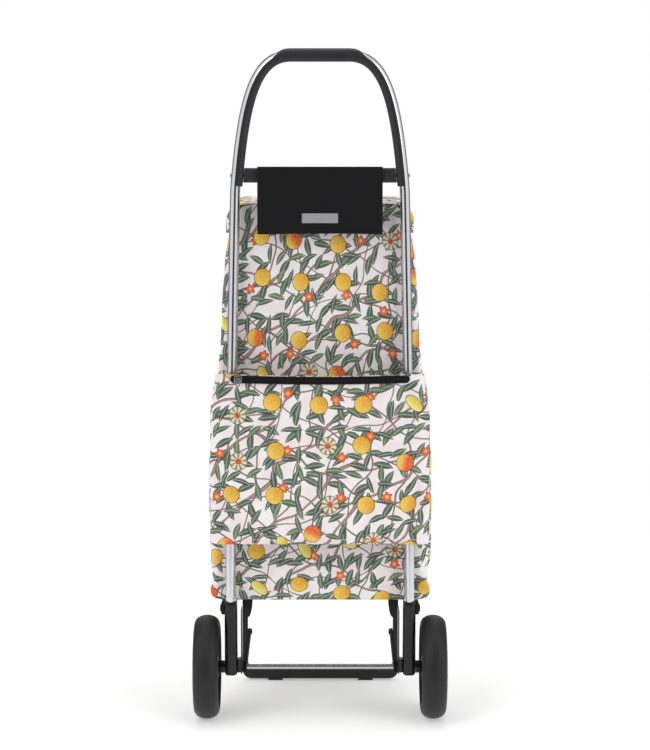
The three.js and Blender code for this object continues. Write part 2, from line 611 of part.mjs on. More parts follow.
function buildBag() {
  const tab = [[tabHalf + 10, bagRim], [tabHalf, backTop - 2], [tabHalf - 4, backTop]];
  const outer = plateY(mirrored([...bagHalfOutline(0), ...tab]), [bagBack, bagFront]);
  const mouth = [bagTopHalf - CLOTH - 2, backTop + 1];
  const inner = plateY(mirrored([...bagHalfOutline(CLOTH), mouth]), [bagBack + CLOTH, bagFront - CLOTH]);
  const aboveRim = box([-bagHalf, bagHalf], [bagBack + CLOTH, bagFront + 1], [bagRim, backTop + 1]);
  place('bag_body', cut(outer, inner, aboveRim), PRINTED_CLOTH);
  const boardHalf = UPRIGHT_LOW - BOARD_INSET;
  place('bag_base_board', box([-boardHalf, boardHalf], [BOARD_BACK, bagFront - 2 * CLOTH],
    [bagLow + CLOTH + GAP, bagLow + CLOTH + GAP + BOARD_T]), BOARD);
}

function buildLid() {
  const low = lidTop - LID_SKIRT;
  const shell = (t) => mirrored([
    [lidHalf - t, low - Math.sign(t)],
    ...LID_ROUND.map(([inward, drop, side, down]) => [lidHalf - inward - t * side, lidTop - drop - t * down]),
    [tabHalf - LID_FLAT, lidTop - t],
  ]);
  const back = bagBack + CLOTH + 2 * GAP;
  const outer = plateY(shell(0), [back, lidFront]);
  const inner = plateY(shell(CLOTH), [back - 1, lidFront - CLOTH]);
  const drop = box([-lidHalf, lidHalf], [lidFront - CLOTH, lidFront], [lidTop - LID_DROP, low + 2]);
  place('bag_lid', join(cut(outer, inner), drop), PRINTED_CLOTH);
}

function buildPocket() {
  const r = POCKET_ROUND;
  const outline = mirrored([...arc(pocketHalf - r, pocketLow + r, r, -90, 0, 4), [pocketHalf - 2, pocketTop]]);
  const shell = plateY(outline, [pocketOut, pocketIn]);
  const room = box([3 * POCKET_WALL - pocketHalf, pocketHalf - 3 * POCKET_WALL],
    [pocketOut + POCKET_WALL, pocketIn - POCKET_WALL], [pocketLow + POCKET_WALL + 2, pocketTop + 1]);
  const flanges = sides.map(([, side]) => box(
    FLANGE_SPAN.map((inward) => side * (pocketHalf - inward)), [pocketIn - 1, bagBack - 2 * GAP],
    [pocketLow + r, pocketTop]));
  place('rear_pocket', join(cut(shell, room), ...flanges), PRINTED_CLOTH);

  const tapeFront = pocketOut - GAP - ZIP_T;
  const tapeZ = pocketTop - 1 - ZIP_H / 2;
  place('pocket_zip_tape', box([-ZIP_HALF, ZIP_HALF], [tapeFront, pocketOut - GAP],
    [tapeZ - ZIP_H / 2, tapeZ + ZIP_H / 2]), ZIP_TAPE);
  const x = -ZIP_HALF + SLIDER_END;
  const sliderFront = tapeFront - GAP - SLIDER_T;
  place('zip_slider', box([x - SLIDER_W / 2, x + SLIDER_W / 2], [sliderFront, tapeFront - GAP],
    [tapeZ - SLIDER_H / 2, tapeZ + SLIDER_H / 2]), STEEL);
  const pullTop = tapeZ + SLIDER_H / 4;
  place('zip_pull', box([x - PULL_W / 2, x + PULL_W / 2], [sliderFront - GAP - PULL_T, sliderFront - GAP],
    [pullTop - PULL_L, pullTop]), STEEL);
}

// ---------------------------------------------------------------- hanger over the crossbar
function buildHanger() {
  // The strap runs up from the bag's back panel, over the bar and a little way down its other side
  const top = crossbarHigh + GAP;
  const behind = [strapBack, strapBack + STRAP_T];
  const strapLow = backTop - STRAP_TAIL;
  const strap = join(
    box([-FLAP_HALF, FLAP_HALF], behind, [strapLow, top + STRAP_T]),
    box([-FLAP_HALF, FLAP_HALF], [-strapBack - STRAP_T, strapBack + STRAP_T], [top, top + STRAP_T]),
    box([-FLAP_HALF, FLAP_HALF], [-strapBack - STRAP_T, -strapBack], [crossbarLow, top + STRAP_T]));
  place('hanger_strap', strap, BLACK_CLOTH);

  const flapTop = top + STRAP_T + GAP;
  const flapBack = -strapBack - STRAP_T - 2 * GAP;
  place('hanger_flap', box([-FLAP_HALF, FLAP_HALF], [flapBack - FLAP_T, flapBack],
    [flapTop - FLAP_LENGTH, flapTop]), BLACK_CLOTH);
  const labelZ = flapTop - FLAP_LENGTH + LABEL_LIFT;
  const labelBack = flapBack - FLAP_T - GAP;
  place('flap_label', box([-LABEL_HALF, LABEL_HALF], [labelBack - LABEL_T, labelBack],
    [labelZ - LABEL_H / 2, labelZ + LABEL_H / 2]), LABEL_CLOTH);
}

// ---------------------------------------------------------------- assembly
buildFrame();
buildCrossbar();
buildBrackets();
buildAxle();
sides.forEach(([name, side]) => buildWheel(name, side));
buildPlatform();
buildStandFoot();
buildLinks();
buildBag();
buildLid();
buildPocket();
buildHanger();

// The origin is under the middle of the whole trolley, on the floor
const group = new THREE.Group();
trolley.position.y = (WHEEL_R - lidFront) / 2;
group.add(trolley);

export default group;
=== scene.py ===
"""A shopping trolley in a plain studio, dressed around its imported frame.

Every length is in metres, in the frame's own axes: +Z up, the user's side towards -Y.
"""

import logging
import math
from dataclasses import dataclass
from enum import Enum
from typing import Callable, Iterable, Optional, Sequence, Union

import bmesh
import bpy
from mathutils import Matrix, Vector, noise


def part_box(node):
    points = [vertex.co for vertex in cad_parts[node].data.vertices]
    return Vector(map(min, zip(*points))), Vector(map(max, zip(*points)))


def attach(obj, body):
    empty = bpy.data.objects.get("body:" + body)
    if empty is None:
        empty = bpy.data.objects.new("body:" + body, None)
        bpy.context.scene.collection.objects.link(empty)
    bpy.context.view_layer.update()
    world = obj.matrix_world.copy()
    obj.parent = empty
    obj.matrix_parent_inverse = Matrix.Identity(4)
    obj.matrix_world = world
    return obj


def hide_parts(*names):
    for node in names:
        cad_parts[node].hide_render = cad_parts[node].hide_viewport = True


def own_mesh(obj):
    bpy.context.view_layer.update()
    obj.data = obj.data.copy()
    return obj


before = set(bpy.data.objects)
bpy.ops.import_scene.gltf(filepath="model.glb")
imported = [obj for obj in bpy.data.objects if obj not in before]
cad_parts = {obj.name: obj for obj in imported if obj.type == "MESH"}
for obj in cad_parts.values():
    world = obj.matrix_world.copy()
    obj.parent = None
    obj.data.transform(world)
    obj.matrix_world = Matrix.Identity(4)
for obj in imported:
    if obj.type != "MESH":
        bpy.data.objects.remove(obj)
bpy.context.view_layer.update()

LOG = logging.getLogger("trolley")
MM = 0.001
SIDES = ("left", "right")

Point = Sequence[float]
Colour = Union[Sequence[float], bpy.types.NodeSocket]


def rgb(red: int, green: int, blue: int) -> tuple[float, float, float, float]:
    """A colour from its 0 to 255 screen values, as linear light."""
    def linear(value: int) -> float:
        share = value / 255
        return share / 12.92 if share <= 0.04045 else ((share + 0.055) / 1.055) ** 2.4
    return linear(red), linear(green), linear(blue), 1.0


# ------------------------------------------------------------------ shader expressions
def shader_step(operation: str, flipped: bool = False) -> Callable[..., "Wire"]:
    """A Wire method that adds one Math node, with its operands swapped if flipped."""
    def step(self: "Wire", *others: "Number") -> "Wire":
        values = (self, *others)
        return self.bench.math(operation, *(values[::-1] if flipped else values))
    return step


class Wire:
    """A number in a material: arithmetic on it adds Math nodes."""

    def __init__(self, bench: "Bench", socket: bpy.types.NodeSocket) -> None:
        """Wraps one output socket of a bench's tree."""
        self.bench = bench
        self.socket = socket

    __add__ = __radd__ = shader_step("ADD")
    __sub__ = shader_step("SUBTRACT")
    __rsub__ = shader_step("SUBTRACT", flipped=True)
    __mul__ = __rmul__ = shader_step("MULTIPLY")
    __truediv__ = shader_step("DIVIDE")
    __abs__ = shader_step("ABSOLUTE")
    __gt__ = shader_step("GREATER_THAN")
    __lt__ = shader_step("LESS_THAN")
    sqrt = shader_step("SQRT")
    sin = shader_step("SINE")
    cos = shader_step("COSINE")
    fract = shader_step("FRACT")

    def soft(self, blur: float) -> "Wire":
        """1 where self is over 0 and 0 where it is under, with a soft step of this width."""
        node = self.bench.math("DIVIDE", self, blur) + 0.5
        node.socket.node.use_clamp = True
        return node


Number = Union[float, Wire]


class Bench:
    """One material being put together around a Principled shader."""

    def __init__(self, name: str) -> None:
        """Starts an empty material of that name."""
        self.material = bpy.data.materials.new(name)
        self.material.use_nodes = True
        self.nodes = self.material.node_tree.nodes
        self.links = self.material.node_tree.links
        self.nodes.clear()
        self.shader = self.nodes.new("ShaderNodeBsdfPrincipled")
        output = self.nodes.new("ShaderNodeOutputMaterial")
        self.links.new(self.shader.outputs[0], output.inputs[0])

    def node(self, kind: str, settings: dict, inputs: dict) -> bpy.types.Node:
        """Adds a node.

        Args:
            kind: the node's type name.
            settings: attributes, which are set first.
            inputs: socket name or number to a value, a Wire or a socket.

        Returns:
            The new node.
        """
        node = self.nodes.new(kind)
        for key, value in settings.items():
            setattr(node, key, value)
        for key, value in inputs.items():
            self.feed(node.inputs[key], value)
        return node

    def feed(self, socket: bpy.types.NodeSocket, value: object) -> None:
        """Links or sets one input socket."""
        if isinstance(value, Wire):
            value = value.socket
        if isinstance(value, bpy.types.NodeSocket):
            self.links.new(value, socket)
        else:
            socket.default_value = value

    def math(self, operation: str, *values: Number) -> Wire:
        """One Math node on these values."""
        node = self.node("ShaderNodeMath", {"operation": operation}, dict(enumerate(values)))
        return Wire(self, node.outputs[0])

    def mix(self, share: Number, first: Colour, second: Colour) -> bpy.types.NodeSocket:
        """The colour that is first at share 0 and second at share 1."""
        node = self.node("ShaderNodeMix", {"data_type": "RGBA"}, {0: share, 6: first, 7: second})
        return node.outputs[2]

    def coordinate(self, uv: Optional[str] = None) -> bpy.types.NodeSocket:
        """Object coordinates, or the piece's own UV map of that name."""
        if uv:
            return self.node("ShaderNodeUVMap", {"uv_map": uv}, {}).outputs[0]
        return self.node("ShaderNodeTexCoord", {}, {}).outputs["Object"]

    def split(self, vector: bpy.types.NodeSocket) -> tuple[Wire, Wire, Wire]:
        """The three parts of a vector."""
        node = self.node("ShaderNodeSeparateXYZ", {}, {0: vector})
        return Wire(self, node.outputs[0]), Wire(self, node.outputs[1]), Wire(self, node.outputs[2])

    def vector(self, x: Number, y: Number, z: Number = 0.0) -> bpy.types.NodeSocket:
        """A vector of three numbers."""
        return self.node("ShaderNodeCombineXYZ", {}, {0: x, 1: y, 2: z}).outputs[0]

    def noise(self, where: bpy.types.NodeSocket, scale: float, detail: float = 2.0) -> Wire:
        """Smooth noise from 0 to 1."""
        node = self.node("ShaderNodeTexNoise", {},
                         {"Vector": where, "Scale": scale, "Detail": detail})
        return Wire(self, node.outputs[0])

    def surface(self, colour: Colour, roughness: Number, bump: Optional[Wire] = None, *,
                strength: float = 0.3, depth: float = 0.0005, **fixed: float) -> bpy.types.Material:
        """Connects the shader.

        Args:
            colour: base colour.
            roughness: roughness, fixed or varying.
            bump: height for a Bump node, from 0 to 1.
            strength: strength of the bump.
            depth: the height in metres that 1 stands for.
            fixed: other shader sockets with one value all over, with _ for a space.

        Returns:
            The finished material.
        """
        self.feed(self.shader.inputs["Base Color"], colour)
        self.feed(self.shader.inputs["Roughness"], roughness)
        for name, value in fixed.items():
            self.shader.inputs[name.replace("_", " ")].default_value = value
        if bump is not None:
            node = self.node("ShaderNodeBump", {},
                             {"Height": bump, "Strength": strength, "Distance": depth})
            self.links.new(node.outputs[0], self.shader.inputs["Normal"])
        return self.material


class SkyBench(Bench):
    """The studio's surround being put together around a Background shader."""

    def __init__(self, name: str) -> None:
        """Starts a world of that name."""
        self.world = bpy.data.worlds.new(name)
        self.world.use_nodes = True
        self.nodes = self.world.node_tree.nodes
        self.links = self.world.node_tree.links
        self.shader = self.nodes["Background"]


# ------------------------------------------------------------------ finishes
@dataclass(frozen=True)
class DrawnMetal:
    """Metal with fine lines along one axis, and slight handling marks."""

    name: str
    colour: tuple
    roughness: float
    grain: tuple = (1.0, 1.0, 0.02)
    scale: float = 2400.0

    def build(self) -> bpy.types.Material:
        """The material."""
        bench = Bench(self.name)
        where = bench.coordinate()
        stretched = bench.node("ShaderNodeMapping", {}, {0: where, 3: self.grain}).outputs[0]
        lines = bench.noise(stretched, self.scale, 2.0)
        marks = bench.noise(where, 38.0, 3.0)
        darker = tuple(0.86 * c for c in self.colour[:3]) + (1.0,)
        colour = bench.mix(lines * 0.5 + marks * 0.25, self.colour, darker)
        roughness = lines * 0.1 + marks * 0.08 + (self.roughness - 0.08)
        return bench.surface(colour, roughness, lines, strength=0.12, depth=0.0001, Metallic=1.0)


@dataclass(frozen=True)
class MouldedPlastic:
    """Black or grey plastic with a spark-eroded grain and rubbed patches."""

    name: str
    colour: tuple
    roughness: float
    grain: float = 1500.0
    bump: float = 0.15
    coat: float = 0.0
    specular: float = 0.4

    def build(self) -> bpy.types.Material:
        """The material."""
        bench = Bench(self.name)
        where = bench.coordinate()
        fine = bench.noise(where, self.grain, 2.0)
        rubbed = bench.noise(where, 26.0, 3.0)
        lighter = tuple(min(1.0, 1.5 * c + 0.004) for c in self.colour[:3]) + (1.0,)
        colour = bench.mix(rubbed * 0.55 + fine * 0.25, self.colour, lighter)
        roughness = rubbed * 0.14 + fine * 0.08 + (self.roughness - 0.1)
        return bench.surface(colour, roughness, fine, strength=self.bump, depth=0.0002,
                             Coat_Weight=self.coat, Coat_Roughness=0.12,
                             Specular_IOR_Level=self.specular)


@dataclass(frozen=True)
class WovenCloth:
    """Plain cloth: two crossing threads in the piece's own UV map."""

    name: str
    colour: tuple
    thread: float
    roughness: float = 0.85
    sheen: float = 0.25
    slub: float = 0.3

    def build(self) -> bpy.types.Material:
        """The material."""
        bench = Bench(self.name)
        u, v, _ = bench.split(bench.coordinate("cloth"))
        turns = 2 * math.pi / self.thread
        weave = ((u * turns).sin() * (v * turns).sin()) * 0.5 + 0.5
        patches = bench.noise(bench.vector(u, v), 55.0, 3.0)
        lighter = tuple(min(1.0, 1.7 * c + 0.006) for c in self.colour[:3]) + (1.0,)
        colour = bench.mix(weave * self.slub + patches * 0.3, self.colour, lighter)
        return bench.surface(colour, patches * 0.1 + (self.roughness - 0.05), weave, strength=0.35,
                             depth=0.0003, Sheen_Weight=self.sheen, Sheen_Roughness=0.5,
                             Specular_IOR_Level=0.25)


@dataclass(frozen=True)
class LeafLayer:
    """One scatter of leaves in the print, sizes in millimetres."""

    cell: float
    long: float
    wide: float
    seed: float
    dark: tuple
    light: tuple


@dataclass(frozen=True)
class OrchardPrint:
    """Printed cloth: branches, leaves, fruit and small flowers on a pale ground."""

    name: str = "orchard_print"
    branch_turn: float = 0.72
    branch_gap: float = 66.0
    outline: tuple = rgb(26, 26, 32)
    leaves: tuple = (
        LeafLayer(36.0, 33.0, 9.6, 3.0, rgb(20, 52, 54), rgb(52, 92, 70)),
        LeafLayer(32.0, 29.0, 8.4, 17.0, rgb(30, 66, 56), rgb(92, 120, 82)),
        LeafLayer(37.0, 31.0, 6.8, 41.0, rgb(16, 40, 54), rgb(46, 78, 80)),
    )

    def cell(self, bench: Bench, u: Wire, v: Wire, size: float, jitter: float,
             seed: float) -> tuple[Wire, Wire, Wire, Wire]:
        """A scatter of places.

        Args:
            bench: the material.
            u: across the cloth, in millimetres.
            v: up the cloth, in millimetres.
            size: mean spacing.
            jitter: 0 for a regular grid, 1 for a random one.
            seed: moves the scatter.

        Returns:
            Distance across and up from the nearest place, and two random numbers for it.
        """
        where = bench.vector(u / size + seed, v / size + seed * 0.37)
        scatter = bench.node("ShaderNodeTexVoronoi", {"voronoi_dimensions": "2D"},
                             {"Vector": where, "Scale": 1.0, "Randomness": jitter})
        away = bench.node("ShaderNodeVectorMath", {"operation": "SUBTRACT"},
                          {0: where, 1: scatter.outputs["Position"]}).outputs[0]
        across, up, _ = bench.split(away)
        chance = bench.node("ShaderNodeSeparateColor", {}, {0: scatter.outputs["Color"]})
        first, second = (Wire(bench, chance.outputs[k]) for k in (0, 1))
        return across * size, up * size, first, second

    def branches(self, bench: Bench, u: Wire, v: Wire, colour: Colour) -> Colour:
        """Wavy branches and twigs over the colour so far."""
        sway = bench.noise(bench.vector(u, v), 0.011, 1.0) * 74.0
        for turn, gap, half in ((1.25, 52.0, 0.45), (-0.5, 58.0, 0.55), (0.25, 61.0, 0.5),
                                (self.branch_turn, self.branch_gap, 1.5)):
            across = v * math.cos(turn) - u * math.sin(turn) + sway * (1.0 if turn > 0 else -0.8)
            away = abs((across / gap).fract() - 0.5) * gap
            colour = bench.mix((half + 0.65 - away).soft(0.5), colour, rgb(60, 46, 50))
            colour = bench.mix((half - away).soft(0.5), colour, rgb(176, 148, 138))
        return colour

    def scatter_leaves(self, bench: Bench, u: Wire, v: Wire, colour: Colour,
                       layer: LeafLayer) -> Colour:
        """One scatter of pointed leaves with a midrib over the colour so far."""
        x, y, turn_chance, tone = self.cell(bench, u, v, layer.cell, 0.45, layer.seed)
        turn = turn_chance * 2.5 - 0.55
        cosine, sine = turn.cos(), turn.sin()
        along = (x * cosine + y * sine) / layer.long + 0.5
        side = y * cosine - x * sine
        side = side + (along - 0.5) * (along - 0.5) * 7.0 - 0.7
        half = along * (1.0 - along) * (2.0 * layer.wide)
        inside = half - abs(side)
        shade = bench.mix(tone, layer.dark, layer.light)
        shade = bench.mix((side > 0.0) * 0.28, shade, rgb(84, 134, 98))
        veins = ((along * layer.long + abs(side) * -1.3) * (2 * math.pi / 3.4)).sin()
        shade = bench.mix((veins - 0.72).soft(0.3) * 0.55, shade, rgb(214, 220, 200))
        shade = bench.mix((0.35 - abs(side)).soft(0.3) * 0.8, shade, rgb(226, 226, 206))
        colour = bench.mix((inside + 0.5).soft(0.4), colour, self.outline)
        return bench.mix((inside - 0.1).soft(0.4), colour, shade)

    def scatter_flowers(self, bench: Bench, u: Wire, v: Wire, colour: Colour) -> Colour:
        """Small five-petalled flowers over the colour so far."""
        x, y, chance, _ = self.cell(bench, u, v, 84.0, 0.6, 71.0)
        radius = (x * x + y * y).sqrt()
        angle = bench.math("ARCTAN2", y, x) * 5.0 + chance * 6.0
        inside = angle.cos() * 1.5 + 6.6 - radius
        colour = bench.mix((inside + 0.6).soft(0.4), colour, rgb(150, 60, 50))
        petals = bench.mix((radius / 8.0), rgb(250, 150, 90), rgb(232, 92, 62))
        colour = bench.mix((inside - 0.1).soft(0.4), colour, petals)
        return bench.mix((1.9 - radius).soft(0.5), colour, rgb(250, 214, 120))

    def scatter_fruit(self, bench: Bench, u: Wire, v: Wire, colour: Colour) -> Colour:
        """Round, split, long and striped fruit over the colour so far."""
        x, y, kind, chance = self.cell(bench, u, v, 70.0, 0.42, 9.0)
        radius = (x * x + y * y).sqrt()
        long_one = (kind > 0.6) * (kind < 0.84)
        striped = kind > 0.84
        split_one = kind < 0.24
        lean = chance * 1.4 - 0.3
        along = y * lean.cos() - x * lean.sin()
        across = x * lean.cos() + y * lean.sin()
        oval = ((across * across) / 78.0 + (along * along) / 250.0).sqrt()
        round_inside = 13.6 - radius
        inside = round_inside * (1.0 - long_one) + (1.0 - oval) * 9.0 * long_one
        light = bench.noise(bench.vector(u, v), 0.35, 2.0)
        body = bench.mix((across + 9.0) / 20.0, rgb(246, 206, 92), rgb(232, 166, 48))
        body = bench.mix(split_one * (across + 1.0).soft(9.0), body, rgb(238, 104, 58))
        body = bench.mix(long_one, body, bench.mix((across + 5.0) / 12.0, rgb(246, 236, 140),
                                                   rgb(222, 200, 72)))
        ribs = (bench.math("ARCTAN2", y, x) * 9.0).sin()
        pod = bench.mix((ribs - 0.1).soft(0.5), rgb(240, 228, 196), rgb(146, 150, 120))
        pod = bench.mix((4.6 - radius).soft(0.8), pod, rgb(206, 84, 62))
        body = bench.mix(striped, body, pod)
        body = bench.mix((light - 0.6).soft(0.1) * 0.35, body, rgb(255, 244, 190))
        ring = abs(along - 1.0) * 0.35 + abs(across)
        body = bench.mix((0.5 - ring).soft(0.5) * (1.0 - striped) * 0.7, body, rgb(120, 96, 60))
        colour = bench.mix((inside + 0.7).soft(0.4), colour, self.outline)
        return bench.mix((inside - 0.1).soft(0.4), colour, body)

    def build(self) -> bpy.types.Material:
        """The material."""
        bench = Bench(self.name)
        metres_u, metres_v, _ = bench.split(bench.coordinate("cloth"))
        u, v = metres_u * 1000.0, metres_v * 1000.0
        clouds = bench.noise(bench.vector(u, v), 0.022, 2.0)
        ground = bench.mix((clouds - 0.5).soft(0.2), rgb(251, 247, 246), rgb(249, 236, 237))
        colour = self.branches(bench, u, v, ground)
        for layer in self.leaves:
            colour = self.scatter_leaves(bench, u, v, colour, layer)
        colour = self.scatter_flowers(bench, u, v, colour)
        colour = self.scatter_fruit(bench, u, v, colour)
        turns = 2 * math.pi / 0.9
        weave = ((u * turns).sin() * (v * turns).sin()) * 0.5 + 0.5
        return bench.surface(colour, clouds * 0.1 + 0.72, weave, strength=0.2, depth=0.0002,
                             Specular_IOR_Level=0.2)


class Finish(Enum):
    """The trolley's finishes: the record's slot and the maker of the material."""

    TUBE = ("aluminium", DrawnMetal("drawn_aluminium", rgb(214, 215, 219), 0.2))
    STEEL = ("steel", DrawnMetal("zinc_steel", rgb(196, 198, 202), 0.24, (0.02, 1.0, 1.0)))
    GRIP = ("grip", MouldedPlastic("soft_grip", rgb(37, 37, 40), 0.5, 2200.0, 0.3))
    BLACK = ("black_plastic", MouldedPlastic("moulded_black", rgb(6, 6, 7), 0.28,
                                             specular=0.3, coat=0.25))
    RIM = ("black_plastic", MouldedPlastic("rim_black", rgb(14, 14, 15), 0.38))
    POWDER = ("black_steel", MouldedPlastic("powder_coat", rgb(8, 8, 9), 0.42, 900.0, 0.35,
                                            specular=0.3))
    TYRE = ("tyre", MouldedPlastic("tyre_rubber", rgb(24, 24, 26), 0.5, 1300.0, 0.3,
                                   specular=0.35))
    MATT = ("black_plastic", MouldedPlastic("matt_black", rgb(6, 6, 7), 0.7, specular=0.15))
    DARK_PIN = ("steel", MouldedPlastic("blacked_steel", rgb(12, 12, 13), 0.45, 900.0, 0.2))
    PAD = ("pad_rubber", MouldedPlastic("pad_rubber", rgb(18, 18, 19), 0.8, 1300.0, 0.4))
    PRINT = ("printed_cloth", OrchardPrint())
    CANVAS = ("black_cloth", WovenCloth("black_canvas", rgb(13, 11, 14), 0.0011, 0.85, 0.03))
    TAPE = ("black_cloth", WovenCloth("zip_cloth", rgb(10, 10, 11), 0.0007, 0.7, 0.03))
    LABEL = ("label", WovenCloth("label_cloth", rgb(150, 150, 156), 0.0006, 0.7, 0.1, 0.15))
    THREAD = ("black_cloth", WovenCloth("black_thread", rgb(24, 23, 26), 0.0006, 0.7, 0.05))
    PALE_THREAD = ("printed_cloth", WovenCloth("pale_thread", rgb(222, 208, 203), 0.0006))
    BOARD = ("board", MouldedPlastic("base_board", rgb(120, 116, 110), 0.6, 700.0, 0.4))

    @property
    def slot(self) -> str:
        """The record's material slot."""
        return self.value[0]

    @property
    def material(self) -> bpy.types.Material:
        """The material, built the first time that it is asked for."""
        name = self.value[1].name
        return bpy.data.materials.get(name) or self.value[1].build()


# ------------------------------------------------------------------ meshes
def corners(node: str) -> tuple[Vector, Vector]:
    """The low and high corners of a frame node's box."""
    low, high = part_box(node)
    return Vector(low), Vector(high)


def new_object(name: str, mesh: bpy.types.Mesh) -> bpy.types.Object:
    """Adds an object that holds this mesh, at the origin."""
    piece = bpy.data.objects.new(name, mesh)
    bpy.context.scene.collection.objects.link(piece)
    return piece


def mesh_piece(name: str, points: Sequence[Point], faces: Sequence[Sequence[int]],
               uv: Optional[Sequence[Sequence[float]]] = None) -> bpy.types.Object:
    """A piece from its points and faces.

    Args:
        name: the piece's name.
        points: places in metres.
        faces: loops of point numbers.
        uv: one flat cloth coordinate for each point.

    Returns:
        The new object, smooth shaded.
    """
    mesh = bpy.data.meshes.new(name)
    mesh.from_pydata([tuple(p) for p in points], [], [tuple(f) for f in faces])
    if uv is not None:
        layer = mesh.uv_layers.new(name="cloth")
        for loop in mesh.loops:
            layer.data[loop.index].uv = uv[loop.vertex_index]
    mesh.shade_smooth()
    return new_object(name, mesh)


def outward(piece: bpy.types.Object) -> bpy.types.Object:
    """Merges doubles and turns every face of a closed piece outward."""
    work = bmesh.new()
    work.from_mesh(piece.data)
    bmesh.ops.remove_doubles(work, verts=work.verts, dist=1e-6)
    bmesh.ops.recalc_face_normals(work, faces=work.faces)
    work.to_mesh(piece.data)
    work.free()
    return piece


def bevelled(piece: bpy.types.Object, width: float, segments: int = 2,
             angle: float = 32.0) -> bpy.types.Object:
    """Rounds the piece's hard edges."""
    edge = piece.modifiers.new("edge", "BEVEL")
    edge.width = width
    edge.segments = segments
    edge.limit_method = "ANGLE"
    edge.angle_limit = math.radians(angle)
    edge.use_clamp_overlap = True
    edge.harden_normals = False
    flat = piece.modifiers.new("flat", "WEIGHTED_NORMAL")
    flat.keep_sharp = True
    return piece


def applied(piece: bpy.types.Object) -> bpy.types.Object:
    """Turns the piece's modifiers into plain mesh."""
    graph = bpy.context.evaluated_depsgraph_get()
    graph.update()
    mesh = bpy.data.meshes.new_from_object(piece.evaluated_get(graph))
    old = piece.data
    piece.modifiers.clear()
    piece.data = mesh
    bpy.data.meshes.remove(old)
    return piece


def dressed(piece: bpy.types.Object, finish: Finish, body: str,
            nodes: Iterable[str] = ()) -> bpy.types.Object:
    """Gives a piece its finish, its body and the frame nodes that it stands for."""
    piece.data.materials.clear()
    piece.data.materials.append(finish.material)
    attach(piece, body)
    if nodes:
        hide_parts(*nodes)
    LOG.info("%s on %s", piece.name, body)
    return piece


def merged(node: str) -> bmesh.types.BMesh:
    """A frame node's own shape, to edit, with its facets merged."""
    work = bmesh.new()
    work.from_mesh(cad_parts[node].data)
    bmesh.ops.remove_doubles(work, verts=work.verts, dist=2e-6)
    bmesh.ops.dissolve_limit(work, angle_limit=math.radians(2.0), verts=work.verts,
                             edges=work.edges)
    return work


def smooth_piece(name: str, work: bmesh.types.BMesh) -> bpy.types.Object:
    """A smooth-shaded piece from an edited shape, which is freed."""
    mesh = bpy.data.meshes.new(name)
    work.to_mesh(mesh)
    work.free()
    mesh.shade_smooth()
    return new_object(name, mesh)


def refined(node: str, finish: Finish, body: str, edge: float = 0.0006,
            angle: float = 32.0) -> bpy.types.Object:
    """A frame node's own shape with its facets merged and its hard edges rounded.

    Args:
        node: the frame node.
        finish: its finish.
        body: the body that it is part of.
        edge: radius of the rounded edges.
        angle: edges sharper than this are rounded.

    Returns:
        The piece that stands for the node.
    """
    piece = smooth_piece(f"{node}_fine", merged(node))
    bevelled(piece, edge, 2, angle)
    return dressed(piece, finish, body, [node])


def turned(name: str, profile: Sequence[Sequence[float]], centre: Point,
           segments: int = 72) -> bpy.types.Object:
    """A closed ring turned about the X axis through centre; profile points are (radius, x)."""
    points, faces = [], []
    count = len(profile)
    for i in range(segments):
        angle = 2 * math.pi * i / segments
        for radius, along in profile:
            points.append((centre[0] + along, centre[1] + radius * math.sin(angle),
                           centre[2] + radius * math.cos(angle)))
    for i in range(segments):
        for j in range(count):
            a, b = i * count + j, i * count + (j + 1) % count
            c, d = ((i + 1) % segments) * count + (j + 1) % count, ((i + 1) % segments) * count + j
            faces.append((a, b, c, d))
    return outward(mesh_piece(name, points, faces))


def grid_faces(rows: int, columns: int, closed: bool = False) -> list[tuple[int, int, int, int]]:
    """The faces of a sheet of rows by columns points, joined round if closed."""
    across = columns if closed else columns - 1
    return [(r * columns + c, r * columns + (c + 1) % columns,
             (r + 1) * columns + (c + 1) % columns, (r + 1) * columns + c)
            for r in range(rows - 1) for c in range(across)]


def smooth_step(value: float, low: float, high: float) -> float:
    """0 below low, 1 above high, and a smooth rise between."""
    share = min(1.0, max(0.0, (value - low) / (high - low)))
    return share * share * (3 - 2 * share)


def between(table: Sequence[tuple[float, float]], at: float) -> float:
    """Reads a table of (place, value) pairs, with straight lines between them."""
    if at <= table[0][0]:
        return table[0][1]
    for (a, low), (b, high) in zip(table, table[1:]):
        if at <= b:
            return low + (high - low) * (at - a) / (b - a)
    return table[-1][1]


# ------------------------------------------------------------------ repeated small pieces
class Bead(Enum):
    """What is repeated along a line: its width, height and length as shares of the size."""

    STITCH = (0.42, 0.42, 1.0)
    TOOTH = (0.9, 0.7, 0.42)
    RIVET = (1.0, 1.0, 0.6)


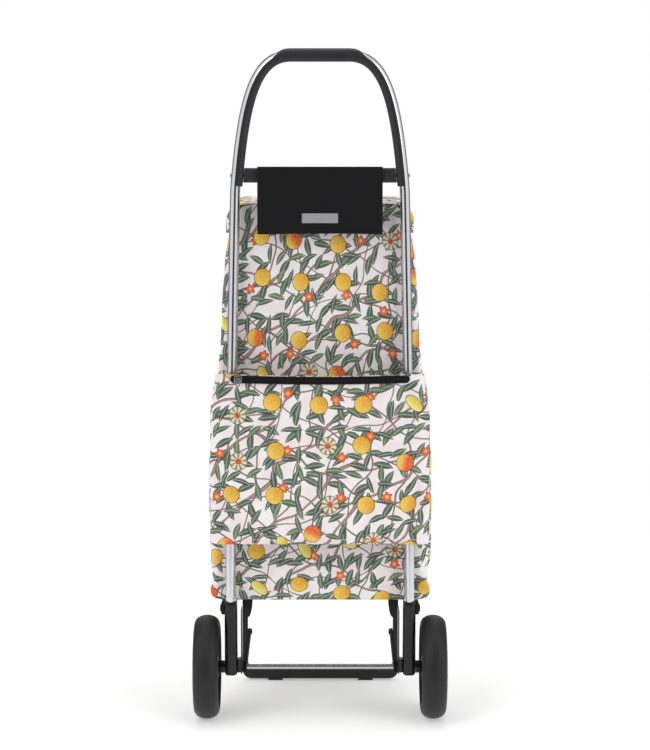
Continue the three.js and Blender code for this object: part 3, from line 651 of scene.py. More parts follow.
def repeat_tree(bead: Bead, material: bpy.types.Material) -> bpy.types.NodeTree:
    """The Geometry Nodes tree that sets beads along an edge line, with named sizes."""
    tree = bpy.data.node_groups.new(f"repeat_{bead.name.lower()}", "GeometryNodeTree")
    face = tree.interface
    face.new_socket("Geometry", in_out="INPUT", socket_type="NodeSocketGeometry")
    face.new_socket("Pitch", in_out="INPUT", socket_type="NodeSocketFloat")
    face.new_socket("Size", in_out="INPUT", socket_type="NodeSocketFloat")
    face.new_socket("Geometry", in_out="OUTPUT", socket_type="NodeSocketGeometry")
    add, link = tree.nodes.new, tree.links.new
    given, out = add("NodeGroupInput"), add("NodeGroupOutput")
    curve = add("GeometryNodeMeshToCurve")
    link(given.outputs["Geometry"], curve.inputs["Mesh"])
    spots = add("GeometryNodeCurveToPoints")
    spots.mode = "LENGTH"
    link(curve.outputs[0], spots.inputs["Curve"])
    link(given.outputs["Pitch"], spots.inputs["Length"])
    if bead is Bead.TOOTH:
        shape = add("GeometryNodeMeshCube")
    else:
        shape = add("GeometryNodeMeshIcoSphere")
        shape.inputs["Radius"].default_value = 0.5
        shape.inputs["Subdivisions"].default_value = 2
    size = add("ShaderNodeVectorMath")
    size.operation = "SCALE"
    size.inputs[0].default_value = bead.value
    link(given.outputs["Size"], size.inputs["Scale"])
    place = add("GeometryNodeInstanceOnPoints")
    link(spots.outputs["Points"], place.inputs["Points"])
    link(shape.outputs["Mesh"], place.inputs["Instance"])
    link(spots.outputs["Rotation"], place.inputs["Rotation"])
    link(size.outputs[0], place.inputs["Scale"])
    real, paint = add("GeometryNodeRealizeInstances"), add("GeometryNodeSetMaterial")
    paint.inputs["Material"].default_value = material
    link(place.outputs[0], real.inputs[0])
    link(real.outputs[0], paint.inputs["Geometry"])
    link(paint.outputs[0], out.inputs[0])
    return tree


def repeated(name: str, bead: Bead, lines: Sequence[Sequence[Point]], pitch: float, size: float,
             finish: Finish, body: str) -> bpy.types.Object:
    """Beads along lines, as one plain mesh.

    Args:
        name: the piece's name.
        bead: what is repeated.
        lines: the lines' points.
        pitch: spacing.
        size: a bead's length.
        finish: its finish.
        body: the body that it rides on.

    Returns:
        The finished piece.
    """
    points, edges = [], []
    for line in lines:
        start = len(points)
        points += [tuple(p) for p in line]
        edges += [(start + i, start + i + 1) for i in range(len(line) - 1)]
    mesh = bpy.data.meshes.new(name)
    mesh.from_pydata(points, edges, [])
    piece = new_object(name, mesh)
    tree = repeat_tree(bead, finish.material)
    ports = {item.name: item.identifier for item in tree.interface.items_tree
             if item.in_out == "INPUT"}
    nodes = piece.modifiers.new("repeat", "NODES")
    nodes.node_group = tree
    nodes[ports["Pitch"]] = pitch
    nodes[ports["Size"]] = size
    applied(piece)
    piece.data.shade_smooth()
    return dressed(piece, finish, body)


# ------------------------------------------------------------------ cloth
def drape(piece: bpy.types.Object, pins: Sequence[float], growth: float, steps: int,
          limit: Callable[[Vector, Vector], Vector], gravity: float = 1.0,
          pressure: float = 0.0) -> bpy.types.Object:
    """Lets a sheet that is a little too big for its place settle into folds.

    Args:
        piece: the sheet.
        pins: how firmly each point is held, 0 to 1.
        growth: how much too big the cloth is, as a share.
        steps: simulated frames.
        limit: takes a point's old and new place and returns the place that it may have.
        gravity: share of full weight.
        pressure: air pressure on the faces' back sides.

    Returns:
        The settled piece, with no Cloth left on it.
    """
    group = piece.vertex_groups.new(name="held")
    for i, weight in enumerate(pins):
        group.add([i], weight, "REPLACE")
    cloth = piece.modifiers.new("cloth", "CLOTH")
    settings = cloth.settings
    settings.quality = 4
    settings.mass = 0.2
    settings.tension_stiffness = 25
    settings.compression_stiffness = 25
    settings.shear_stiffness = 12
    settings.bending_stiffness = 1.2
    settings.vertex_group_mass = "held"
    settings.pin_stiffness = 1.0
    settings.shrink_min = -growth
    settings.shrink_max = -growth
    settings.effector_weights.gravity = gravity
    settings.use_pressure = pressure > 0
    settings.uniform_pressure_force = pressure
    cloth.collision_settings.use_collision = False
    cloth.point_cache.frame_start = 1
    cloth.point_cache.frame_end = steps
    scene = bpy.context.scene
    for step in range(1, steps + 1):
        scene.frame_set(step)
    graph = bpy.context.evaluated_depsgraph_get()
    settled = [v.co.copy() for v in piece.evaluated_get(graph).to_mesh().vertices]
    piece.evaluated_get(graph).to_mesh_clear()
    piece.modifiers.remove(cloth)
    for vertex, place in zip(piece.data.vertices, settled):
        vertex.co = limit(vertex.co.copy(), place)
    scene.frame_set(1)
    piece.vertex_groups.clear()
    return piece


def thickened(piece: bpy.types.Object, thick: float, levels: int = 1) -> bpy.types.Object:
    """Gives a sheet its thickness, inward, and a smoother surface."""
    if levels:
        fine = piece.modifiers.new("fine", "SUBSURF")
        fine.levels = fine.render_levels = levels
    wall = piece.modifiers.new("wall", "SOLIDIFY")
    wall.thickness = thick
    wall.offset = -1
    return applied(piece)


def puckers(at: Vector, scale: float, deep: float) -> float:
    """A smooth signed height for soft creases, the same each run."""
    return deep * noise.noise(at / scale)


# ------------------------------------------------------------------ the frame's tube and handle
@dataclass
class TubeFrame:
    """The bent tube, its grip, and the crossbar."""

    width: float = 16 * MM
    depth: float = 22 * MM
    wall: float = 1.5 * MM
    low_half: float = 141.5 * MM
    top_half: float = 131.3 * MM
    taper_start: float = 200 * MM
    arch_drop: float = 217 * MM
    flat_half: float = 45 * MM
    cover: float = 2 * MM
    grip_inside: float = 2.8 * MM
    grip_side: float = 2.2 * MM
    grip_edge: float = 1.5 * MM
    wrap_half: float = 46 * MM
    steps: int = 40

    def __post_init__(self) -> None:
        """Reads the tube's place from the frame."""
        low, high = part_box("frame_tube")
        self.y = (low[1] + high[1]) / 2
        self.low = low[2]
        self.top = high[2] - self.width / 2
        self.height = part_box("handle_top_cover")[1][2]
        self.grip_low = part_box("handle_grip")[0][2]

    @staticmethod
    def bezier(points: Sequence[Sequence[float]], share: float) -> tuple[float, float]:
        """A point on a cubic curve."""
        a, b, c, d = points
        r = 1 - share
        weights = (r ** 3, 3 * r * r * share, 3 * r * share * share, share ** 3)
        return tuple(sum(w * p[k] for w, p in zip(weights, (a, b, c, d))) for k in (0, 1))

    def half_line(self, low: float) -> list[tuple[float, float]]:
        """The right half of the tube's middle line as (x, z), from the top down to low."""
        arch_z = self.height - self.arch_drop
        arch = ((self.flat_half, self.top), (self.flat_half + 60 * MM, self.top),
                (self.top_half - 11 * MM, self.top - 80 * MM), (self.top_half, arch_z))
        lean = ((self.top_half, arch_z), (self.top_half + 3.5 * MM, arch_z - 120 * MM),
                (self.low_half, self.taper_start + 200 * MM), (self.low_half, self.taper_start))
        line = [(x * self.flat_half / 5, self.top) for x in range(5)]
        line += [self.bezier(arch, i / self.steps) for i in range(self.steps + 1)]
        line += [self.bezier(lean, i / self.steps) for i in range(1, self.steps + 1)]
        line.append((self.low_half, self.low))
        kept = [p for p in line if p[1] > low]
        after = next((p for p in line if p[1] <= low), None)
        if after:
            before = kept[-1]
            share = (before[1] - low) / (before[1] - after[1])
            kept.append((before[0] + (after[0] - before[0]) * share, low))
        return kept

    def stations(self, low: float) -> list[tuple[Vector, Vector]]:
        """Middle points from the left end to the right one, each with its inward direction."""
        half = self.half_line(low)
        line = [(-x, z) for x, z in reversed(half[1:])] + half
        result = []
        for i, (x, z) in enumerate(line):
            before, after = line[max(i - 1, 0)], line[min(i + 1, len(line) - 1)]
            along = Vector((after[0] - before[0], 0, after[1] - before[1])).normalized()
            result.append((Vector((x, self.y, z)), Vector((along.z, 0, -along.x))))
        return result

    def sweep(self, name: str, low: float,
              section: Callable[[float], list[tuple[float, float]]]) -> bpy.types.Object:
        """A closed body whose section, of (depth, inward) points, may change with |x|."""
        points, count, stations = [], 0, self.stations(low)
        for middle, inward in stations:
            ring = section(abs(middle.x))
            count = len(ring)
            points += [middle + inward * a + Vector((0, d, 0)) for d, a in ring]
        faces = grid_faces(len(stations), count, closed=True)
        faces.append(tuple(range(count)))
        faces.append(tuple(range(len(points) - count, len(points))))
        return outward(mesh_piece(name, points, faces))

    def oval(self, grow: float, count: int) -> list[tuple[float, float]]:
        """The tube's oval outline, grown or shrunk."""
        return [((self.depth / 2 + grow) * math.sin(2 * math.pi * i / count),
                 (self.width / 2 + grow) * math.cos(2 * math.pi * i / count)) for i in range(count)]

    def build_tube(self) -> None:
        """The hollow tube with its two open ends."""
        count, stations = 40, self.stations(self.low)
        points = []
        for grow in (0.0, -self.wall):
            for middle, inward in stations:
                points += [middle + inward * a + Vector((0, d, 0))
                           for d, a in self.oval(grow, count)]
        half = len(points) // 2
        skin = grid_faces(len(stations), count, closed=True)
        faces = skin + [tuple(half + k for k in reversed(f)) for f in skin]
        for start in (0, half - count):
            faces += [(start + i, start + (i + 1) % count, half + start + (i + 1) % count,
                       half + start + i) for i in range(count)]
        tube = outward(mesh_piece("tube_fine", points, faces))
        dressed(tube, Finish.TUBE, "frame", ["frame_tube"])

    def grip_section(self, x: float) -> list[tuple[float, float]]:
        """The grip's section: a channel on the sides that closes round the tube at the top."""
        closed = 1 - smooth_step(x, self.wrap_half, self.wrap_half + 30 * MM)
        fit_d, fit_w = self.depth / 2 + 0.25 * MM, self.width / 2 + 0.25 * MM
        open_angle = math.acos(-self.grip_edge / fit_w)
        lip = open_angle + (math.radians(177) - open_angle) * closed
        outer_d, outer_w = self.depth / 2 + self.grip_side, self.width / 2 + self.grip_inside
        back_w = self.width / 2 + 0.4 * MM + (self.cover - 0.4 * MM) * closed
        outside, inside = [], []
        for i in range(33):
            angle = lip * (1 - i / 16)
            reach = outer_w if math.cos(angle) > 0 else back_w
            sine, cosine = math.sin(angle), math.cos(angle)
            square = (abs(sine) ** 3.0 + abs(cosine) ** 3.0) ** (-1 / 3.0)
            outside.append((outer_d * sine * square, reach * cosine * square))
            inside.append((fit_d * sine, fit_w * cosine))
        return outside + inside[::-1]

    def build_grip(self) -> None:
        """The soft grip, one moulding that stands for the grip and its top cover."""
        grip = self.sweep("grip_fine", self.grip_low, self.grip_section)
        bevelled(grip, 0.5 * MM, 2, 50)
        dressed(grip, Finish.GRIP, "frame", ["handle_grip", "handle_top_cover"])

    def build(self) -> None:
        """Every piece of the tube frame."""
        self.build_tube()
        self.build_grip()
        refined("handle_crossbar", Finish.GRIP, "frame", 0.8 * MM)
        for side in SIDES:
            refined(f"crossbar_screw_{side}", Finish.STEEL, "frame", 0.4 * MM)


# ------------------------------------------------------------------ axle, brackets and wheels
@dataclass
class Wheel:
    """One wheel: tyre, rim, bush and cap."""

    side: str
    segments: int = 96
    groove: float = 0.4 * MM
    windows: int = 6
    window_radius: float = 9 * MM
    hub: float = 17 * MM
    ring_deep: float = 6 * MM
    lip: float = 5 * MM
    tread_half: float = 13 * MM

    def __post_init__(self) -> None:
        """Reads the wheel's sizes from the frame."""
        low, high = corners(f"tyre_{self.side}")
        self.centre = (low + high) / 2
        self.radius = (high.z - low.z) / 2
        self.half = (high.x - low.x) / 2
        rim_low, rim_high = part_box(f"wheel_rim_{self.side}")
        self.rim_radius = (rim_high[2] - rim_low[2]) / 2
        self.hub_half = (rim_high[0] - rim_low[0]) / 2
        bush_low, bush_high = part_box(f"wheel_bush_{self.side}")
        self.bore = (bush_high[2] - bush_low[2]) / 2 + 0.3 * MM

    def tyre_profile(self) -> list[tuple[float, float]]:
        """A full round section with fine grooves round the tread."""
        seat, swell = self.rim_radius + 0.3 * MM, 2.05
        profile = [(seat, -self.half + self.lip)]
        for i in range(49):
            turn = math.pi * i / 48
            x = -self.half * math.copysign(abs(math.cos(turn)) ** (2 / swell), math.cos(turn))
            r = seat + 1.5 * MM + (self.radius - seat - 1.5 * MM) * math.sin(turn) ** (2 / swell)
            on_tread = abs(x) < self.tread_half
            profile.append((r - self.groove * (i % 3 == 0) * on_tread, x))
        return profile + [(seat, self.half - self.lip)]

    def rim_profile(self) -> list[tuple[float, float]]:
        """The rim's section: hub, dished disc and ring."""
        ring, edge = self.rim_radius, self.half - self.lip
        inner, disc, hub = ring - self.ring_deep, 3 * MM, self.hub
        half = [(self.bore, self.hub_half), (hub - 1.2 * MM, self.hub_half),
                (hub, self.hub_half - 1.5 * MM),
                (hub + 0.6 * MM, disc + 3 * MM), (hub + 4 * MM, disc), (inner - 5 * MM, disc),
                (inner - 1.5 * MM, disc + 2 * MM), (inner, disc + 6 * MM),
                (inner + 1 * MM, edge - 0.8 * MM),
                (inner + 2 * MM, edge), (ring, edge)]
        return half + [(r, -x) for r, x in reversed(half)]

    def build_rim(self) -> None:
        """The rim, with round windows cut through its disc."""
        rim = turned(f"rim_fine_{self.side}", self.rim_profile(), self.centre, self.segments)
        work = bmesh.new()
        ring = (self.hub + self.rim_radius - self.ring_deep) / 2
        for i in range(self.windows):
            angle = 2 * math.pi * i / self.windows
            at = self.centre + Vector((0, ring * math.sin(angle), ring * math.cos(angle)))
            turn = Matrix.Translation(at) @ Matrix.Rotation(math.pi / 2, 4, "Y")
            bmesh.ops.create_cone(work, cap_ends=True, segments=28, radius1=self.window_radius,
                                  radius2=self.window_radius, depth=16 * MM, matrix=turn)
        mesh = bpy.data.meshes.new("cutter")
        work.to_mesh(mesh)
        work.free()
        cutter = new_object("cutter", mesh)
        cut = rim.modifiers.new("windows", "BOOLEAN")
        cut.object = cutter
        cut.operation = "DIFFERENCE"
        applied(rim)
        bpy.data.objects.remove(cutter)
        bevelled(rim, 0.7 * MM, 2, 40)
        dressed(rim, Finish.RIM, f"wheel_{self.side}", [f"wheel_rim_{self.side}"])

    def build(self) -> None:
        """Every piece of the wheel."""
        body = f"wheel_{self.side}"
        tyre = turned(f"tyre_fine_{self.side}", self.tyre_profile(), self.centre, self.segments)
        dressed(tyre, Finish.TYRE, body, [f"tyre_{self.side}"])
        self.build_rim()
        refined(f"wheel_bush_{self.side}", Finish.BLACK, body, 0.3 * MM)
        refined(f"wheel_cap_{self.side}", Finish.BLACK, body, 0.5 * MM)


@dataclass
class Undercarriage:
    """The brackets, axle rod and folding stand."""

    sleeve_wide: float = 20.5 * MM
    sleeve_square: float = 4.2
    cheek_thick: float = 2.5 * MM
    leg_swell: float = 8 * MM
    swell_span: tuple = (108 * MM, 172 * MM)
    foot_edge: float = 2.2 * MM
    board_share: float = 0.74  # the board stops short of the bag's back, so it folds up inside it

    def build_axle(self) -> None:
        """The axle rod as a smooth bar with chamfered ends."""
        low, high = corners("axle_rod")
        middle, radius, reach = (low + high) / 2, (high.z - low.z) / 2, (high.x - low.x) / 2
        profile = [(0.01 * MM, -reach), (radius - 0.6 * MM, -reach), (radius, -reach + 0.6 * MM),
                   (radius, reach - 0.6 * MM), (radius - 0.6 * MM, reach), (0.01 * MM, reach)]
        rod = turned("axle_rod_fine", profile, middle, 40)
        bevelled(rod, 0.05 * MM, 1, 40)
        dressed(rod, Finish.STEEL, "frame", ["axle_rod"])

    def build(self) -> None:
        """Every piece below the bag."""
        self.build_axle()
        for side in SIDES:
            self.build_bracket(side)
            refined(f"axle_spacer_{side}", Finish.BLACK, "frame", 0.4 * MM)
            refined(f"platform_pivot_pin_{side}", Finish.DARK_PIN, "frame", 0.4 * MM)
            refined(f"stand_pivot_pin_{side}", Finish.DARK_PIN, "platform", 0.4 * MM)
            refined(f"link_pin_{side}", Finish.DARK_PIN, "stand_leg", 0.4 * MM)
            refined(f"lower_link_{side}", Finish.MATT, f"link_{side}", 0.7 * MM)
            refined(f"foot_pad_{side}", Finish.PAD, "stand_leg", 0.8 * MM)
        self.build_foot()
        refined("platform_frame", Finish.POWDER, "platform", 0.8 * MM)
        for i in (1, 2, 3):
            refined(f"platform_slat_{i}", Finish.POWDER, "platform", 0.8 * MM)
        board = refined("bag_base_board", Finish.BOARD, "platform", 0.6 * MM)
        applied(board)
        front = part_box("bag_base_board")[1][1]
        for vertex in board.data.vertices:
            vertex.co.y = front - self.board_share * (front - vertex.co.y)
        self.build_rivets()

    @staticmethod
    def rounded_column(name: str, middle: Vector, half: tuple[float, float],
                       rows: Sequence[tuple[float, float]], square: float) -> bpy.types.Object:
        """A closed upright column of rounded-square section.

        Args:
            name: the piece's name.
            middle: its plan centre.
            half: half width and half depth.
            rows: (height, inset) from the bottom up.
            square: 2 for an oval section, more for a squarer one.

        Returns:
            The column.
        """
        count, points = 40, []
        for z, inset in rows:
            for i in range(count):
                c, n = math.cos(2 * math.pi * i / count), math.sin(2 * math.pi * i / count)
                across = math.copysign(abs(c) ** (2 / square), c)
                deep = math.copysign(abs(n) ** (2 / square), n)
                points.append((middle.x + (half[0] - inset) * across,
                               middle.y + (half[1] - inset) * deep, z))
        faces = grid_faces(len(rows), count, closed=True)
        faces += [tuple(range(count)), tuple(range(len(points) - count, len(points)))]
        return outward(mesh_piece(name, points, faces))

    def build_bracket(self, side: str) -> None:
        """One axle bracket: a round-edged sleeve, its inner cheek, and the web between them."""
        low, high = corners(f"axle_bracket_{side}")
        sign = 1 if low.x > 0 else -1
        outer, inner = (high.x, low.x) if sign > 0 else (low.x, high.x)
        tube_low, tube_high = corners("frame_tube")
        deep = (high.y - low.y) / 2
        seat = (tube_high.y - tube_low.y) / 2
        middle = Vector((outer - sign * self.sleeve_wide / 2, (low.y + high.y) / 2, 0))
        half = self.sleeve_wide / 2
        rows = [(low.z, 6 * MM), (low.z + 0.8 * MM, 3.2 * MM), (low.z + 2.6 * MM, 1 * MM),
                (low.z + 5 * MM, 0)]
        rows += [(low.z + 5 * MM + (high.z - low.z - 12 * MM) * i / 6, 0) for i in range(1, 7)]
        rows += [(high.z - 1 * MM, 0.1 * MM), (high.z, 0.7 * MM), (high.z, deep - seat - 0.5 * MM),
                 (high.z - 0.6 * MM, deep - seat - 0.4 * MM)]
        sleeve = self.rounded_column(f"bracket_fine_{side}", middle, (half, deep), rows,
                                     self.sleeve_square)
        cheek_mid = Vector((inner + sign * self.cheek_thick / 2, middle.y, 0))
        rows = [(low.z + 2.2 * MM, 1 * MM), (low.z + 3.2 * MM, 1 * MM), (low.z + 5 * MM, 0)]
        rows += [(low.z + 5 * MM + (high.z - low.z - 20 * MM) * i / 4, 0) for i in range(1, 5)]
        rows += [(high.z - 10.5 * MM, 0.4 * MM), (high.z - 9.5 * MM, 1.0 * MM)]
        cheek = self.rounded_column("cheek", cheek_mid, (self.cheek_thick / 2, 11 * MM), rows, 5.0)
        web_mid = Vector(((inner + middle.x - sign * half) / 2, middle.y, 0))
        web_half = abs(inner - middle.x + sign * half) / 2
        web = self.rounded_column("web", web_mid, (web_half, 9 * MM),
                                  [(low.z + 5.5 * MM, 0.5 * MM), (low.z + 6.5 * MM, 0),
                                   (low.z + 26 * MM, 0), (low.z + 27 * MM, 0.5 * MM)], 8.0)
        work = bmesh.new()
        for part in (sleeve, cheek, web):
            work.from_mesh(part.data)
        for part in (cheek, web):
            bpy.data.objects.remove(part)
        work.to_mesh(sleeve.data)
        work.free()
        sleeve.data.shade_smooth()
        bevelled(sleeve, 0.35 * MM, 2, 50)
        dressed(sleeve, Finish.BLACK, "frame", [f"axle_bracket_{side}"])

    def build_foot(self) -> None:
        """The stand's foot, its legs swelling inward between their two pivots."""
        low, high = corners("stand_foot")
        work = merged("stand_foot")
        start, end = self.swell_span
        inner = high.x - 9 * MM
        for sign in (-1, 1):
            rows = []
            for i in range(17):
                z = start + (end - start) * i / 16
                swell = self.leg_swell * math.sin(math.pi * i / 16) ** 0.45
                face = sign * (inner - max(swell, 0.05 * MM))
                back = sign * (inner + 0.6 * MM)
                near, far = low.y + 0.5 * MM, high.y - 0.5 * MM
                rows.append([work.verts.new(p) for p in ((back, near, z), (face, near, z),
                                                         (face, far, z), (back, far, z))])
            faces = [work.faces.new(rows[0]), work.faces.new(rows[-1])]
            for a, b in zip(rows, rows[1:]):
                faces += [work.faces.new((a[k], a[(k + 1) % 4], b[(k + 1) % 4], b[k]))
                          for k in range(4)]
            bmesh.ops.recalc_face_normals(work, faces=faces)
        foot = smooth_piece("stand_foot_fine", work)
        bevelled(foot, self.foot_edge, 2, 40)
        dressed(foot, Finish.BLACK, "stand_leg", ["stand_foot"])

    def build_rivets(self) -> None:
        """Round rivet heads where the slats meet the rails."""
        lines = []
        for i in (1, 2, 3):
            low, high = corners(f"platform_slat_{i}")
            middle = (low.y + high.y) / 2
            for x in (low.x + 8 * MM, high.x - 8 * MM):
                lines.append([(x, middle - 7 * MM, low.z), (x, middle + 7 * MM, low.z)])
        repeated("slat_rivets", Bead.RIVET, lines, 7 * MM, 5 * MM, Finish.STEEL, "platform")


# ------------------------------------------------------------------ the bag
@dataclass
class Bag:
    """The printed bag: body, bottom and lid."""

    thick: float = 0.9 * MM
    across: int = 150
    up: int = 84
    back_corner: float = 16 * MM
    front_corner: float = 34 * MM
    tab_half: float = 118 * MM
    seam: float = 0.65
    lid_bend: float = 26 * MM
    lid_side: float = 44 * MM
    lid_front: float = 92 * MM
    widths: tuple = ((0.0, 170.0), (0.012, 174.0), (0.035, 176.0), (0.12, 176.5), (0.35, 174.0),
                     (0.55, 170.5), (0.6, 163.0), (0.66, 158.0), (0.8, 155.5), (0.9, 151.0),
                     (0.95, 144.0), (1.0, 140.0))

    def __post_init__(self) -> None:
        """Reads the bag's place from the frame."""
        low, high = corners("bag_body")
        self.low, self.high = low, high
        lid_low, lid_high = corners("bag_lid")
        self.lid_low, self.lid_high = lid_low, lid_high
        self.rim = high.z - 19.2 * MM
        self.back, self.front = low.y, high.y

    def outline(self, half: float, count: int) -> list[tuple[float, float]]:
        """Evenly spaced (x, y) points round the bag, from the seam at its front left corner."""
        bends = ((half, self.back, self.back_corner, -90),
                 (half, self.front, self.front_corner, 0),
                 (-half, self.front, self.front_corner, 90),
                 (-half, self.back, self.back_corner, 180))
        path = [(0.0, self.back)]
        for x, y, r, start in bends:
            cx, cy = x - math.copysign(r, x), y + (r if y == self.back else -r)
            for i in range(9):
                angle = math.radians(start + 90 * i / 8)
                path.append((cx + r * math.cos(angle), cy + r * math.sin(angle)))
        path.append((0.0, self.back))
        lengths = [0.0]
        for (x0, y0), (x1, y1) in zip(path, path[1:]):
            lengths.append(lengths[-1] + math.hypot(x1 - x0, y1 - y0))
        points = []
        for i in range(count):
            at = lengths[-1] * ((i / count + self.seam) % 1.0)
            k = next(j for j in range(len(path) - 1) if lengths[j + 1] >= at)
            share = (at - lengths[k]) / max(lengths[k + 1] - lengths[k], 1e-9)
            points.append((path[k][0] + (path[k + 1][0] - path[k][0]) * share,
                           path[k][1] + (path[k + 1][1] - path[k][1]) * share))
        return points

    def body_sheet(self) -> tuple[bpy.types.Object, list[float]]:
        """The bag's wall before it settles, and how firmly each point is held."""
        columns = self.across + 1
        points, uv, pins = [], [], []
        girth = 2 * (0.34 + self.front - self.back)
        for r in range(self.up):
            share = r / (self.up - 1)
            half = between(self.widths, share) * MM
            ring = self.outline(half, self.across)
            for c in range(columns):
                x, y = ring[c % self.across]
                at_back = (1 - smooth_step(abs(x), self.tab_half, self.tab_half + 14 * MM)) \
                    * (1 - smooth_step(y, self.back, self.back + 3 * MM))
                top = self.rim + (self.high.z - self.rim) * at_back
                z = self.low.z + (top - self.low.z) * share
                points.append((x, y, z))
                uv.append(((c / self.across) * girth, z))
                firm = max(1 - smooth_step(r, 0, 2), smooth_step(r, self.up - 4, self.up - 2))
                behind = 1 - smooth_step(y, self.back, self.back + 5 * MM)
                pins.append(max(firm, 0.02 + 0.2 * behind))
        return mesh_piece("bag_wall", points, grid_faces(self.up, columns), uv), pins

    def settle(self, old: Vector, new: Vector) -> Vector:
        """Keeps the wall behind the uprights and near its pattern's shape."""
        move = new - old
        far = 7 * MM
        if move.length > far:
            move *= far / move.length
        place = old + move
        place.y = max(place.y, self.back - 0.6 * MM)
        return place

    def build_wall(self) -> None:
        """The bag's wall, settled into folds, with its bottom."""
        wall, pins = self.body_sheet()
        drape(wall, pins, 0.016, 12, self.settle, 0.6, 0.35)
        work = bmesh.new()
        work.from_mesh(wall.data)
        bmesh.ops.remove_doubles(work, verts=work.verts, dist=1e-6)
        bottom = [e for e in work.edges if e.is_boundary and
                  all(v.co.z < self.low.z + 3 * MM for v in e.verts)]
        inner = bmesh.ops.extrude_edge_only(work, edges=bottom)["geom"]
        middle = Vector((0, (self.back + self.front) / 2, self.low.z + 2.2 * MM))
        for vertex in (g for g in inner if isinstance(g, bmesh.types.BMVert)):
            away = vertex.co - middle
            vertex.co = middle + Vector((away.x * 0.9, away.y * 0.9, 0))
        rim = [e for e in work.edges if e.is_boundary and
               all(abs(v.co.z - middle.z) < 1e-4 for v in e.verts)]
        bmesh.ops.contextual_create(work, geom=rim)
        bmesh.ops.recalc_face_normals(work, faces=work.faces)
        work.to_mesh(wall.data)
        work.free()
        for vertex in wall.data.vertices:
            lift = puckers(vertex.co, 0.05, 1.1 * MM) + puckers(vertex.co, 0.021, 0.5 * MM)
            if vertex.co.y < self.back + 4 * MM:
                vertex.co.y += abs(lift)
            else:
                vertex.co += vertex.normal * lift
        thickened(wall, self.thick)
        dressed(wall, Finish.PRINT, "frame", ["bag_body"])
        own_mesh(wall)

    def lid_point(self, across: float, along: float) -> tuple[Vector, tuple[float, float]]:
        """A point of the lid from flat cloth coordinates, across and from the hinge forward.

        Args:
            across: metres from the lid's middle line.
            along: metres from the lid's rear edge.

        Returns:
            Its place, and its flat coordinate.
        """
        half, top = self.lid_high.x - 0.8 * MM, self.lid_high.z - 0.6 * MM
        back, front = self.lid_low.y + 0.5 * MM, self.lid_high.y - 0.8 * MM
        bend = self.lid_bend
        flat_half = half - bend + bend * math.pi / 2
        x, drop = self.rounded(abs(across), half, bend, flat_half)
        y, fall = self.rounded(along, front - back, bend, front - back - bend + bend * math.pi / 2)
        corner = self.back_corner
        short = max(0.0, corner - (back + y - self.back))
        cut = corner - math.sqrt(corner * corner - short * short)
        x -= cut * smooth_step(x, half * 0.8, half)
        place = Vector((math.copysign(x, across), back + y, top - drop - fall))
        place.z += 2.0 * MM * math.cos(math.pi * min(abs(across) / half, 1)) \
            * math.sin(math.pi * min(along / (front - back), 1)) - 2.0 * MM
        return place, (across, 0.83 + along)

    @staticmethod
    def rounded(run: float, flat: float, bend: float, turned_at: float) -> tuple[float, float]:
        """How far out and down a run of cloth reaches over a rounded edge."""
        start = flat - bend
        if run <= start:
            return run, 0.0
        if run <= turned_at:
            angle = (run - start) / bend
            return start + bend * math.sin(angle), bend * (1 - math.cos(angle))
        return flat, bend + (run - turned_at)

    def build_lid(self) -> None:
        """The lid, one sheet that falls over the sides and the front."""
        half, bend = self.lid_high.x, self.lid_bend
        reach_x = half - bend + bend * math.pi / 2 + (self.lid_side - bend)
        depth = self.lid_high.y - self.lid_low.y
        reach_y = depth - bend + bend * math.pi / 2 + self.lid_front
        columns, rows = 61, 61
        points, uv = [], []
        for r in range(rows):
            for c in range(columns):
                along = reach_y * r / (rows - 1)
                over = smooth_step(along, depth - 10 * MM, depth + bend)
                across = reach_x * (2 * c / (columns - 1) - 1) * (1 - 0.14 * over)
                place, flat = self.lid_point(across, along)
                place.z = max(place.z, self.lid_low.z + 0.5 * MM)
                points.append(place)
                uv.append(flat)
        lid = mesh_piece("lid_sheet", points, grid_faces(rows, columns), uv)
        for vertex in lid.data.vertices:
            vertex.co.z += puckers(vertex.co, 0.045, 0.5 * MM) - 0.5 * MM
        thickened(lid, self.thick)
        dressed(lid, Finish.PRINT, "lid", ["bag_lid"])
        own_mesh(lid)

    def build(self) -> None:
        """Every piece of the bag."""
        self.build_wall()
        self.build_lid()


